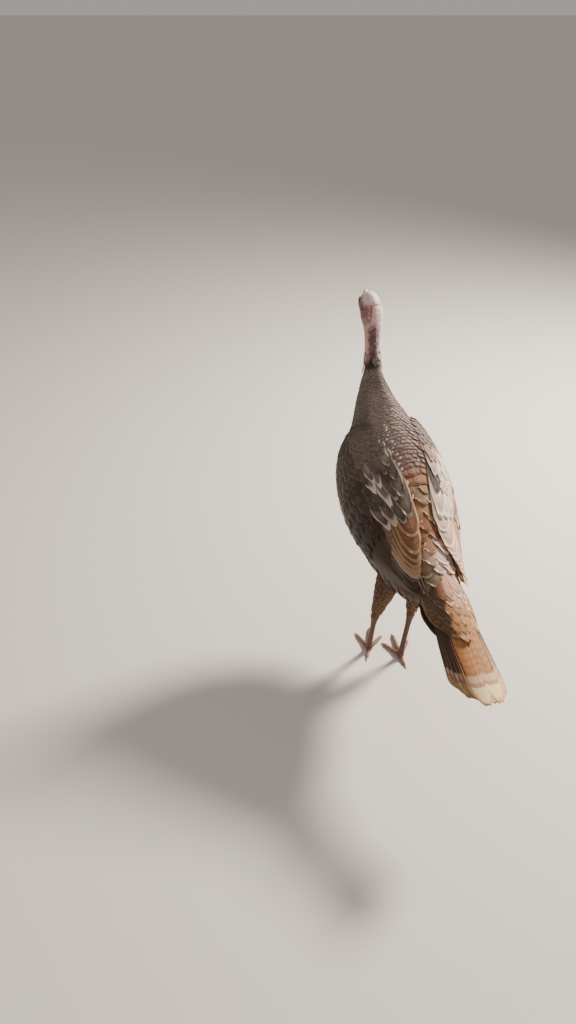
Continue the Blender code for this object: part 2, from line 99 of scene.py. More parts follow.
# From the tail's root, over the trunk and up the neck, to the root of the bill.
BODY = (
    Section(-0.190, 0.320, -0.176, 0.266, 0.038, -0.014),  # tail root
    Section(-0.142, 0.352, -0.118, 0.238, 0.052, -0.014),  # rump
    Section(-0.091, 0.386, -0.062, 0.221, 0.070, -0.016),
    Section(-0.041, 0.426, -0.002, 0.214, 0.086, -0.020),  # hips
    Section(0.008, 0.464, 0.060, 0.221, 0.095, -0.022),
    Section(0.048, 0.494, 0.119, 0.252, 0.096, -0.019),  # shoulders
    Section(0.081, 0.519, 0.164, 0.302, 0.087, -0.013),
    Section(0.106, 0.540, 0.192, 0.364, 0.068, -0.009),  # breast
    Section(0.124, 0.559, 0.201, 0.428, 0.047, -0.005),  # crop
    Section(0.137, 0.577, 0.197, 0.492, 0.0345, 0.000),
    Section(0.146, 0.594, 0.189, 0.548, 0.0240, 0.004),
    Section(0.153, 0.614, 0.185, 0.590, 0.0170, 0.005),  # where the plumage ends
    Section(0.159, 0.638, 0.185, 0.626, 0.0152, 0.005),
    Section(0.163, 0.662, 0.188, 0.654, 0.0155, 0.005),
    Section(0.1645, 0.6820, 0.1945, 0.6730, 0.0174, 0.005),  # nape and throat
    Section(0.1680, 0.7020, 0.2020, 0.6855, 0.0192, 0.005),
    Section(0.1760, 0.7200, 0.2085, 0.6905, 0.0200, 0.005),
    Section(0.1890, 0.7320, 0.2140, 0.6920, 0.0196, 0.005),  # crown and jaw
    Section(0.2030, 0.7345, 0.2190, 0.6930, 0.0181, 0.005),  # eyes
    Section(0.2160, 0.7290, 0.2240, 0.6950, 0.0152, 0.005),
    Section(0.2260, 0.7185, 0.2280, 0.6985, 0.0108, 0.005),  # bill root
)
BELLY_FULLNESS = 0.10  # how much wider a section is below its middle than above
PLUMAGE_TOP = 11.0  # the station of her neck where the plumage ends
HEAD_LEFT = 0.005  # from the middle of her feet to the middle of her head
EYE = (0.2065, HEAD_LEFT + 0.0147, 0.7165)  # the middle of her left eyeball


def place(forward: float, left: float, height: float) -> Vector:
    """A point of the hen, measured from the floor between her feet, in the row's axes."""
    return Vector((left + ORIGIN[0], -forward + ORIGIN[1], height))


def places(forward: Array, left: Array, height: Array) -> Array:
    """Many points at once, as `place` gives one."""
    return np.stack([left + ORIGIN[0], -forward + ORIGIN[1], height], axis=-1)


def spline(rows: Sequence[Sequence[float]], where: Array) -> Array:
    """Catmull-Rom through rows of numbers.

    Args:
        rows: The rows that the curve passes through.
        where: Stations from 0 to len(rows) - 1, an array of any shape.

    Returns:
        The rows' numbers at each station, along a new last axis.
    """
    points = np.asarray(rows, float)
    last = len(points) - 1
    where = np.asarray(where, float)
    index = np.clip(np.floor(where).astype(int), 0, last - 1)
    share = (where - index)[..., None]
    here, there = points[index], points[index + 1]
    before = np.where((index > 0)[..., None], points[np.maximum(index - 1, 0)], 2 * here - there)
    after = np.where(
        (index + 2 <= last)[..., None], points[np.minimum(index + 2, last)], 2 * there - here
    )
    return 0.5 * (
        2 * here
        + (there - before) * share
        + (2 * before - 5 * here + 4 * there - after) * share**2
        + (3 * here - before - 3 * there + after) * share**3
    )


def blend(start: float, end: float, value: Array) -> Array:
    """Smoothly 0 before start and 1 after end, for one number or an array."""
    share = np.clip((np.asarray(value, float) - start) / (end - start), 0.0, 1.0)
    return share * share * (3 - 2 * share)


def bell(value: Array, width: float) -> Array:
    """1 where the value is 0, and falling to about a third at this width on both sides."""
    return np.exp(-((value / width) ** 2))


def square_to(axis: Array, way: Sequence[float]) -> Array:
    """The direction nearest to way that is square to an axis."""
    found = np.array(way) - axis * np.dot(way, axis)
    return found / np.linalg.norm(found)


def pairs(first: object, second: object) -> Array:
    """Two columns with a row for each feather. Either may be given as one number for all."""
    return np.stack(np.broadcast_arrays(first, second), axis=1)


def body_points(station: Array, angle: Array, lift: float = 0.0) -> Array:
    """Points round her body at stations counted from the tail's root."""
    return section_points(spline(BODY, station), angle, lift)


def section_points(row: Array, angle: Array, lift: Array | float) -> Array:
    """Points round sections given as rows of their six numbers.

    Args:
        row: The sections.
        angle: Radians round each: 0 is the back, a quarter turn her left.
        lift: Metres outward from the CAD surface.

    Returns:
        The points, in the row's axes.
    """
    middle = (row[..., 0:2] + row[..., 2:4]) / 2
    rise = (row[..., 0:2] - row[..., 2:4]) / 2
    grown = 1 + np.asarray(lift) / np.linalg.norm(rise, axis=-1)
    rise = rise * grown[..., None]
    width = (row[..., 4] + lift) * (1 - BELLY_FULLNESS * np.cos(angle))
    spot = middle + rise * np.cos(angle)[..., None]
    return places(spot[..., 0], row[..., 5] + width * np.sin(angle), spot[..., 1])


# ---- Smooth maps of the surfaces that feathers lie on ----


class SurfaceMap:
    """A surface as a grid of points, read at any (along, across) by interpolation.

    Along runs from 0 to 1 over the grid's rows. Across runs from 0 to 1 over its
    columns, and starts again after a full turn where the surface is closed.
    """

    def __init__(self, points: Array, closed: bool, inside: Array) -> None:
        """Keeps the grid and works out its outward normals.

        Args:
            points: Rows by columns by 3.
            closed: Whether the last column is followed by the first.
            inside: Points within the shape, for each row or for all of it.
        """
        self.points, self.closed = points, closed
        along = np.gradient(points, axis=0)
        if closed:
            across = (np.roll(points, -1, axis=1) - np.roll(points, 1, axis=1)) / 2
        else:
            across = np.gradient(points, axis=1)
        normals = np.cross(along, across)
        normals /= np.maximum(np.linalg.norm(normals, axis=-1, keepdims=True), 1e-12)
        side = np.sum(normals * (points - inside), axis=-1).mean()
        self.normals = normals * (1.0 if side > 0 else -1.0)
        self.along_size = np.linalg.norm(along, axis=-1) * (len(points) - 1)
        columns = points.shape[1] if closed else points.shape[1] - 1
        self.across_size = np.linalg.norm(across, axis=-1) * columns

    def _read(self, grid: Array, along: Array, across: Array) -> Array:
        """The grid's value at each place, carried on in a straight line past an open edge.

        Args:
            grid: One value or one vector for each of the surface's points.
            along: From 0 to 1.
            across: From 0 to 1.

        Returns:
            The values.
        """
        rows, columns = grid.shape[:2]
        i = np.asarray(along, float) * (rows - 1)
        i0 = np.clip(np.floor(i).astype(int), 0, rows - 2)
        if self.closed:
            j = np.asarray(across, float) * columns
            j0 = np.floor(j).astype(int)
            left, right = j0 % columns, (j0 + 1) % columns
        else:
            j = np.asarray(across, float) * (columns - 1)
            j0 = np.clip(np.floor(j).astype(int), 0, columns - 2)
            left, right = j0, j0 + 1
        si, sj = i - i0, j - j0
        if grid.ndim == 3:
            si, sj = si[..., None], sj[..., None]
        near = grid[i0, left] * (1 - sj) + grid[i0, right] * sj
        far = grid[i0 + 1, left] * (1 - sj) + grid[i0 + 1, right] * sj
        return near * (1 - si) + far * si

    def at(self, along: Array, across: Array) -> tuple[Array, Array]:
        """Points and unit normals.

        Args:
            along: From 0 to 1. Beyond that the surface goes on straight.
            across: From 0 to 1.

        Returns:
            The two.
        """
        normals = self._read(self.normals, np.clip(along, 0, 1), across)
        normals /= np.maximum(np.linalg.norm(normals, axis=-1, keepdims=True), 1e-12)
        return self._read(self.points, along, across), normals

    def sizes(self, along: Array, across: Array) -> tuple[Array, Array]:
        """Metres for one unit along and for one unit across, at these places.

        Args:
            along: From 0 to 1.
            across: From 0 to 1.

        Returns:
            The two sizes at each place.
        """
        along, across = np.clip(along, 0, 1), np.asarray(across, float)
        if not self.closed:
            across = np.clip(across, 0, 1)
        return (
            np.maximum(self._read(self.along_size, along, across), 1e-3),
            np.maximum(self._read(self.across_size, along, across), 1e-3),
        )

    def girth(self, along: float, count: int) -> float:
        """Metres across the surface at one place along it, as the mean of some samples."""
        return float(self.sizes(np.full(count, along), np.linspace(0, 1, count))[1].mean())


def grid_of(rows: int, columns: int, closed: bool) -> tuple[Array, Array]:
    """Even (along, across) values for a grid of points."""
    across = np.linspace(0, 1, columns, endpoint=not closed)
    return np.meshgrid(np.linspace(0, 1, rows), across, indexing="ij")


def body_map(start: float, end: float, sink: float, rows: int = 150) -> SurfaceMap:
    """Her trunk and neck between two stations, below the CAD surface by sink.

    Args:
        start: The first station.
        end: The last station.
        sink: Metres below the CAD surface.
        rows: How many rows of points it has.

    Returns:
        The map.
    """
    along, across = grid_of(rows, 96, True)
    station = start + (end - start) * along
    points = body_points(station, across * FULL_TURN, -sink)
    return SurfaceMap(points, True, points.mean(axis=1, keepdims=True))


@dataclass(frozen=True)
class WingShape:
    """The folded wing's outline and thickness, as the CAD has them."""

    side: int  # 1 is her left wing, -1 her right
    lift: float = 0.0017
    thickness: float = 0.013
    edge: float = 0.0022
    stand_off: float = 0.0040
    # (station of the body, upper edge, lower edge): degrees round from her back
    edges: tuple[Triple, ...] = (
        (7.10, 66, 86),
        (6.80, 50, 102),
        (6.20, 38, 116),
        (5.10, 30, 122),
        (4.00, 24, 117),
        (3.00, 20, 107),
        (2.10, 18, 96),
        (1.30, 20, 86),
        (0.60, 26, 76),
        (0.14, 38, 62),
    )

    def points(self, along: Array, across: Array, lift: Array) -> Array:
        """Points of the wing or beside it.

        Args:
            along: From the shoulder, 0, to the tip, 1.
            across: From the upper edge, 0, to the lower, 1.
            lift: Metres off the trunk.

        Returns:
            The points, in the row's axes.
        """
        row = spline(self.edges, np.asarray(along) * (len(self.edges) - 1))
        station, degrees = row[..., 0], row[..., 1] + (row[..., 2] - row[..., 1]) * across
        section = spline(BODY, station)
        section[..., 4] += self.stand_off * np.maximum(0.0, 3.0 - station)
        found = section_points(section, np.radians(degrees), lift)
        middle = section[..., 5] + ORIGIN[0]
        found[..., 0] = middle + (found[..., 0] - middle) * self.side
        return found

    def depth(self, along: Array, across: Array) -> Array:
        """Thickness: greatest over the forearm, thin at the edges and the tip.

        Args:
            along: From the shoulder, 0, to the tip, 1.
            across: From the upper edge, 0, to the lower, 1.

        Returns:
            The thickness in metres.
        """
        across = np.clip(across, 0, 1)
        domed = np.maximum(0.0, np.sin(np.pi * across)) ** 0.6
        front = np.minimum(1.0, np.maximum(along, 0) / 0.16) ** 0.6
        back = 1.0 - 0.72 * np.maximum(0.0, along - 0.25)
        return self.edge + (self.thickness - self.edge) * domed * front * back

    def outer(self, sink: float) -> SurfaceMap:
        """The outer face, sunk where the wing is thick enough.

        Args:
            sink: Metres below the CAD surface.

        Returns:
            Its map.
        """
        along, across = grid_of(110, 48, False)
        depth = np.maximum(self.depth(along, across) - sink, 0.0004)
        points = self.points(along, across, self.lift + depth)
        inner = self.points(along, across, self.lift - 0.03)
        return SurfaceMap(points, False, inner)

    def covers(self, station: Array, degrees: Array, margin: float) -> Array:
        """Whether the wing lies over places of the body.

        Args:
            station: Where along the body.
            degrees: Where round it, from the back.
            margin: Degrees within the wing's edges.

        Returns:
            True where it does.
        """
        edges = np.array(self.edges)[::-1]
        upper = np.interp(station, edges[:, 0], edges[:, 1])
        lower = np.interp(station, edges[:, 0], edges[:, 2])
        turned = degrees * self.side
        within = (station > edges[0, 0] + 0.1) & (station < edges[-1, 0] - 0.15)
        return within & (turned > upper + margin) & (turned < lower - margin)


@dataclass(frozen=True)
class TailShape:
    """The closed, arched tail."""

    root_forward: float = -0.1895
    root_height: float = 0.3000
    left: Pair = (-0.015, -0.006)
    drop: float = math.radians(17)
    arch: Pair = (0.026, 0.036)
    length: float = 0.212
    thickness: float = 0.0052
    rounding: float = 0.27
    covert_clearance: float = 0.0022

    def half_width(self, share: Array) -> Array:
        """Half the tail's width at a share of its length."""
        return 0.043 + 0.010 * np.maximum(share, 0.0) ** 0.8

    def points(self, share: Array, across: Array, lift: Array) -> Array:
        """Points of the blade or over it.

        Args:
            share: From the root, 0, to the end, 1.
            across: From her right, -1, to her left, 1.
            lift: Metres over the blade.

        Returns:
            The points, in the row's axes.
        """
        arch = lift - (self.arch[0] + (self.arch[1] - self.arch[0]) * share) * (
            np.abs(across) ** 2.3 - 0.35
        )
        reach = self.length * share
        forward = self.root_forward - reach * math.cos(self.drop) - arch * math.sin(self.drop)
        height = self.root_height - reach * math.sin(self.drop) + arch * math.cos(self.drop)
        left = self.left[0] + (self.left[1] - self.left[0]) * share
        return places(forward, left + across * self.half_width(share), height)

    def blade(self) -> SurfaceMap:
        """The blade's upper face.

        Returns:
            Its map.
        """
        along, across = grid_of(60, 61, False)
        points = self.points(along, across * 2 - 1, np.zeros_like(along))
        return SurfaceMap(points, False, points + np.array([0, 0, -0.2]))

    def pad(self, reach: float, swell: float, above: bool, sink: float) -> SurfaceMap:
        """The pad of coverts over or under the tail's root, as the CAD has it.

        Args:
            reach: Its length, as a share of the tail's.
            swell: Its greatest thickness.
            above: Whether it lies over the tail.
            sink: Metres below the CAD surface.

        Returns:
            Its map.
        """
        along, across = grid_of(40, 41, False)
        across = across * 2 - 1
        share = reach * along * (1 - 0.22 * across**2)
        rounded = np.sqrt(np.maximum(1 - 0.94 * across**2, 0.0))
        bulk = 0.0009 + swell * rounded * np.maximum(np.cos(along * np.pi / 2), 0.0) ** 0.8
        bulk = np.maximum(bulk - sink, 0.0006)
        lift = self.thickness + self.covert_clearance + bulk if above else -bulk
        points = self.points(share, across * (0.98 - 0.34 * along**2), lift)
        return SurfaceMap(points, False, points + np.array([0, 0, -0.2 if above else 0.2]))


# ---- Vanes ----


@dataclass(frozen=True)
class VaneGrid:
    """The plain flat vane that every feather of one kind is bent from."""

    rows: int
    columns: int
    crowding: float = 1.35  # above 1, the rows crowd towards the tip

    def shape(self) -> tuple[Array, Array]:
        """A closed thin sheet.

        Returns:
            Its corners as (share along, -1 to 1 across, 0 on top or 1 below), and its
            faces, each four corner numbers.
        """
        sheet = bmesh.new()
        bmesh.ops.create_grid(sheet, x_segments=self.columns, y_segments=self.rows, size=0.5)
        bmesh.ops.solidify(sheet, geom=sheet.faces[:], thickness=1.0)
        bmesh.ops.recalc_face_normals(sheet, faces=sheet.faces)
        sheet.verts.index_update()
        corners = np.array([vert.co[:] for vert in sheet.verts])
        faces = np.array([[vert.index for vert in face.verts] for face in sheet.faces])
        sheet.free()
        along = 1 - (0.5 - corners[:, 1]) ** self.crowding
        layer = np.round(corners[:, 2].max() - corners[:, 2])
        return np.stack([along, corners[:, 0] * 2, layer], axis=1), faces


@dataclass(frozen=True)
class VaneOutline:
    """How a feather's width changes along it and how round its tip is."""

    root: float = 0.45  # its width at the root, as a share of its greatest width
    fullest: float = 0.45  # where it is widest, as a share of its length
    taper: float = 0.60  # where it starts to narrow
    tip: float = 0.62  # its width at the tip
    rounding: float = 0.26  # how far its edges end short of its tip
    notch: float = 0.03  # how uneven its end is

    def width(self, along: Array) -> Array:
        """Half of the vane's width.

        Args:
            along: The share of its length.

        Returns:
            Numbers up to 1, which is at its fullest.
        """
        opening = np.sin(np.clip(along / self.fullest, 0, 1) * np.pi / 2)
        closing = np.clip((along - self.taper) / (1 - self.taper), 0, 1) ** 2
        return (self.root + (1 - self.root) * opening) * (1 - (1 - self.tip) * closing)


class Look(NamedTuple):
    """What each feather of a batch is coloured like. Colours are linear, one row each."""

    tone: Array
    fringe: Array
    fringe_width: Array
    band: Array  # strength of the dark line inside the fringe
    bars: Array  # strength of the fine cross bars
    speckle: Array


@dataclass
class Batch:
    """Feathers laid on one surface map. Arrays have one entry or row for each feather."""

    root: Array  # (along, across)
    tip: Array
    width: Array | float
    low: Array | float  # height over the surface at the root
    high: Array | float  # and at the tip
    look: Look
    camber: float = 0.10  # how far the edges curve down, as a share of the width
    tilt: float = 0.0004  # one edge over the next feather's
    thickness: float = 0.00025
    rise: float = 1.2  # above 1, the vane lies flatter near its root
    barbs: float = 46.0  # how many barbs cross one length
    chart: Optional[Array] = None  # each middle on the bake map; its root if left out
    chart_size: Pair = (0.003, 0.003)  # what a feather takes up there


# What the feathers' finishes read at each corner, beside the bake map.
VANE_LAYERS = {
    "vane": "FLOAT_VECTOR",  # share along, -1 to 1 across, chance
    "tone": "FLOAT_COLOR",  # with the strength of the bars
    "fringe": "FLOAT_COLOR",  # with its width
    "mark": "FLOAT_COLOR",  # dark line, speckles, nothing, barbs
}


@dataclass(frozen=True)
class Workshop:
    """What every sub-assembly is made with."""

    frame: dict
    chance: Chance  # the source of all small differences
    finishes: dict[str, Material]


class Plumage:
    """Collects feathers of one piece and makes them one mesh."""

    def __init__(self, shop: Workshop, name: str, slot: str) -> None:
        """Starts an empty piece.

        Args:
            shop: The frame and the finishes.
            name: The piece's name.
            slot: The record's material slot.
        """
        self.shop, self.name, self.slot = shop, name, slot
        self.parts: dict[str, list[Array]] = {key: [] for key in ("co", "faces", "uv", *VANE_LAYERS)}
        self.count = 0

    def lay(self, surface: SurfaceMap, batch: Batch, grid: VaneGrid, outline: VaneOutline) -> None:
        """Bends vanes over a surface and adds them.

        Args:
            surface: What they lie on.
            batch: Where each lies and how it looks.
            grid: The flat vane they are bent from.
            outline: Their outline.
        """
        corners, faces = grid.shape()
        u, v, layer = corners.T
        n, m = len(batch.root), len(corners)
        ragged = 1 + outline.notch * self.shop.chance.standard_normal((n, grid.columns + 1))
        column = np.round((v + 1) / 2 * grid.columns).astype(int)
        reach = u - outline.rounding * np.abs(v) ** 2.2 * u**2
        reach = (reach * (1 + (ragged[:, column] - 1) * u**3))[..., None]
        along, across = np.moveaxis(
            batch.root[:, None] + (batch.tip - batch.root)[:, None] * reach, -1, 0
        )
        width, low, high = (
            np.broadcast_to(size, n)[:, None] for size in (batch.width, batch.low, batch.high)
        )
        half = width / 2 * outline.width(u)
        across = across + half * v / surface.sizes(along, across)[1]
        spot, normal = surface.at(along, across)
        height = low + (high - low) * u**batch.rise - batch.camber * half * v**2
        height = height + batch.tilt * v * u - layer * batch.thickness
        spot = spot + normal * height[..., None]

        # A vane whose faces were turned by the surface's own direction is turned back.
        first = faces[0]
        facing = np.cross(spot[0, first[1]] - spot[0, first[0]], spot[0, first[2]] - spot[0, first[0]])
        outward = surface.at(batch.root[:1, 0], batch.root[:1, 1])[1][0]
        if (np.dot(facing, outward) > 0) != (layer[first].mean() < 0.5):
            faces = faces[:, ::-1]
        offset = self.count + np.arange(n)[:, None, None] * m
        self.parts["co"].append(spot.reshape(-1, 3))
        self.parts["faces"].append((faces[None] + offset).reshape(-1, 4))
        self._colour(batch, u, v)
        self.count += n * m

    def _colour(self, batch: Batch, u: Array, v: Array) -> None:
        """Adds what the finish and the bake map need at the corners of bent vanes.

        Args:
            batch: The feathers.
            u: How far along a vane each of its corners is.
            v: And how far across.
        """
        n, m, look = len(batch.root), len(u), batch.look
        one = self.shop.chance.random(n)[:, None]
        plain = np.zeros(n)
        self.parts["vane"].append(np.stack(np.broadcast_arrays(u, v, one), axis=-1).reshape(-1, 3))
        for key, values in (
            ("tone", (*look.tone.T, look.bars)),
            ("fringe", (*look.fringe.T, look.fringe_width)),
            ("mark", (look.band, look.speckle, plain, plain + batch.barbs)),
        ):
            self.parts[key].append(np.repeat(np.stack(values, axis=1), m, axis=0))
        middle = batch.chart
        if middle is None:
            middle = pairs(batch.root[:, 1] % 1.0, batch.root[:, 0])
        chart = middle[:, None] + np.stack([v / 2, u - 0.5], axis=1) * batch.chart_size
        self.parts["uv"].append(chart.reshape(-1, 2))

    def build(self, replaces: Sequence[str] = (), finish: str = "vanes") -> None:
        """Makes the mesh, dresses it and tells the frame what it stands for.

        Args:
            replaces: The CAD nodes that the piece stands for.
            finish: The name of its finish.
        """
        part = {key: np.concatenate(rows) for key, rows in self.parts.items()}
        mesh = bpy.data.meshes.new(self.name)
        faces = part["faces"]
        mesh.vertices.add(len(part["co"]))
        mesh.vertices.foreach_set("co", part["co"].astype(np.float32).ravel())
        mesh.loops.add(faces.size)
        mesh.loops.foreach_set("vertex_index", faces.astype(np.int32).ravel())
        mesh.polygons.add(len(faces))
        mesh.polygons.foreach_set("loop_start", np.arange(0, faces.size, 4, dtype=np.int32))
        mesh.update(calc_edges=True)
        uv = mesh.uv_layers.new(name="OFBake")
        uv.uv.foreach_set("vector", part["uv"][faces.ravel()].astype(np.float32).ravel())
        for name, kind in VANE_LAYERS.items():
            write_layer(mesh, name, kind, part[name])
        finish_piece(mesh, self.shop.finishes[finish], self.slot, replaces)


def write_layer(mesh: bpy.types.Mesh, name: str, kind: str, values: Array) -> None:
    """Gives a mesh an attribute with one value for each vertex.

    Args:
        mesh: The mesh.
        name: The attribute's name.
        kind: Its data type.
        values: The values, one row for each vertex.
    """
    key = {"FLOAT": "value", "FLOAT_VECTOR": "vector", "FLOAT_COLOR": "color"}[kind]
    layer = mesh.attributes.new(name, kind, "POINT")
    layer.data.foreach_set(key, values.astype(np.float32).ravel())


def finish_piece(
    mesh: bpy.types.Mesh, material: Material, slot: str, replaces: Sequence[str]
) -> None:
    """Makes a smooth piece of a mesh, dresses it and tells the frame about it.

    Args:
        mesh: The mesh, which has the piece's name.
        material: Its finish.
        slot: The record's material slot.
        replaces: The CAD nodes that it stands for.
    """
    mesh.shade_smooth()
    mesh.materials.clear()
    mesh.materials.append(material)
    piece = bpy.data.objects.new(mesh.name, mesh)
    bpy.context.scene.collection.objects.link(piece)
    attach(piece, "root")
    for node in replaces:
        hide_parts(node)
    log.info("%s: %d faces", piece.name, len(mesh.polygons))


# ---- Shader graphs ----


def srgb(red: float, green: float, blue: float) -> Triple:
    """A linear colour from three display values.

    Args:
        red: From 0 to 255, as the next two.
        green: The second value.
        blue: The third value.

    Returns:
        The colour, each number from 0 to 1.
    """
    return tuple(
        value / 255 / 12.92 if value <= 10.3 else ((value / 255 + 0.055) / 1.055) ** 2.4
        for value in (red, green, blue)
    )


def maths(operation: str, turned: bool = False) -> Callable[..., "Wire"]:
    """A method that adds one Math node.

    Args:
        operation: The node's operation.
        turned: Whether the other value comes first.

    Returns:
        The method, which takes a wire and any other values.
    """

    def add(self: "Wire", *others: object) -> "Wire":
        """Adds the node and gives its output."""
        values = (*others, self) if turned else (self, *others)
        return self.graph.add("ShaderNodeMath", {"operation": operation}, dict(enumerate(values)))

    return add


class Wire:
    """An output socket that can be used in Python expressions."""

    def __init__(self, graph: "Graph", socket: bpy.types.NodeSocket) -> None:
        """Keeps the socket and the graph that new Math nodes go to."""
        self.graph, self.socket = graph, socket

    __add__ = __radd__ = maths("ADD")
    __mul__ = __rmul__ = maths("MULTIPLY")
    __sub__, __rsub__ = maths("SUBTRACT"), maths("SUBTRACT", turned=True)
    __truediv__, __pow__ = maths("DIVIDE"), maths("POWER")
    __abs__, sine, most = maths("ABSOLUTE"), maths("SINE"), maths("MAXIMUM")

    def step(self, start: object, end: object) -> "Wire":
        """Smoothly 0 below start and 1 above end."""
        inputs = {"Value": self, "From Min": start, "From Max": end}
        return self.graph.add("ShaderNodeMapRange", {"interpolation_type": "SMOOTHSTEP"}, inputs)


class Graph:
    """A new material's node tree, with its Principled shader."""

    def __init__(self, name: str, **constants: object) -> None:
        """Makes the material.

        Args:
            name: The material's name.
            **constants: Values for the shader's own sockets, with _ for a space.
        """
        self.material = bpy.data.materials.new(name)
        self.material.use_nodes = True
        self.tree = self.material.node_tree
        self.shader = self.tree.nodes["Principled BSDF"]
        for socket, value in constants.items():
            self.shader.inputs[socket.replace("_", " ")].default_value = value

    def add(self, kind: str, settings: dict, inputs: dict, output: object = 0) -> Wire:
        """Adds one node.

        Args:
            kind: The node's type.
            settings: Its properties, set before its sockets.
            inputs: Values or wires for its sockets, by name, identifier or number.
            output: The name or number of the output that is wanted.

        Returns:
            That output.
        """
        node = self.tree.nodes.new(kind)
        for key, value in settings.items():
            setattr(node, key, value)
        for key, value in inputs.items():
            self.join(value, self.find(node.inputs, key))
        return Wire(self, self.find(node.outputs, output))

    def find(self, sockets: object, key: object) -> bpy.types.NodeSocket:
        """One of some sockets.

        Args:
            sockets: The sockets.
            key: Its number, identifier or name.

        Returns:
            The socket.
        """
        if isinstance(key, int):
            return sockets[key]
        same = [socket for socket in sockets if socket.identifier == key]
        return same[0] if same else sockets[key]

    def join(self, value: object, socket: bpy.types.NodeSocket) -> None:
        """Links a wire to a socket, or sets a plain value on it.

        Args:
            value: A wire, number, vector or colour.
            socket: The input socket.
        """
        if isinstance(value, Wire):
            self.tree.links.new(value.socket, socket)
        elif isinstance(value, (tuple, list)) and socket.type == "RGBA" and len(value) == 3:
            socket.default_value = (*value, 1.0)
        else:
            socket.default_value = value

    def out(self, socket: str, wire: Wire) -> None:
        """Feeds one of the shader's sockets."""
        self.tree.links.new(wire.socket, self.shader.inputs[socket])

    def attribute(self, name: str, output: str = "Vector") -> Wire:
        """The piece's own attribute."""
        return self.add("ShaderNodeAttribute", {"attribute_name": name}, {}, output)

    def place(self, centre: Sequence[float] = (0, 0, 0), scale: Sequence[float] = (1, 1, 1)) -> Wire:
        """The point in Object coordinates, moved and scaled by a Mapping node.

        Args:
            centre: The point that becomes the middle.
            scale: How much finer the pattern gets along each axis.

        Returns:
            The vector.
        """
        where = self.add("ShaderNodeTexCoord", {}, {}, "Object")
        size = tuple(1 / number for number in scale)
        inputs = {"Vector": where, "Location": tuple(centre), "Scale": size}
        return self.add("ShaderNodeMapping", {"vector_type": "TEXTURE"}, inputs)

    def split(self, vector: Wire) -> tuple[Wire, Wire, Wire]:
        """Takes a vector apart.

        Args:
            vector: The vector.

        Returns:
            Its three numbers.
        """
        node = self.tree.nodes.new("ShaderNodeSeparateXYZ")
        self.tree.links.new(vector.socket, node.inputs[0])
        return tuple(Wire(self, socket) for socket in node.outputs)

    def combine(self, x: object, y: object, z: object) -> Wire:
        """A vector of three numbers."""
        return self.add("ShaderNodeCombineXYZ", {}, {0: x, 1: y, 2: z})

    def mix(self, factor: object, below: object, above: object) -> Wire:
        """One colour over another."""
        inputs = {"Factor_Float": factor, "A_Color": below, "B_Color": above}
        return self.add("ShaderNodeMix", {"data_type": "RGBA"}, inputs, "Result_Color")

    def grain(self, vector: Wire, scale: float, detail: float = 2.0, rough: float = 0.5) -> Wire:
        """Soft noise from 0 to 1."""
        inputs = {"Vector": vector, "Scale": scale, "Detail": detail, "Roughness": rough}
        return self.add("ShaderNodeTexNoise", {}, inputs, "Fac")

    def cells(self, vector: Wire, scale: float, feature: str = "F1") -> Wire:
        """Distance to the nearest of scattered points, or to the cells' edges."""
        inputs = {"Vector": vector, "Scale": scale}
        return self.add("ShaderNodeTexVoronoi", {"feature": feature}, inputs, "Distance")

    def bump(self, height: Wire, distance: float, strength: float = 1.0) -> None:
        """Feeds the shader's Normal from a height."""
        inputs = {"Height": height, "Distance": distance, "Strength": strength}
        self.out("Normal", self.add("ShaderNodeBump", {}, inputs))


# ---- Finishes ----


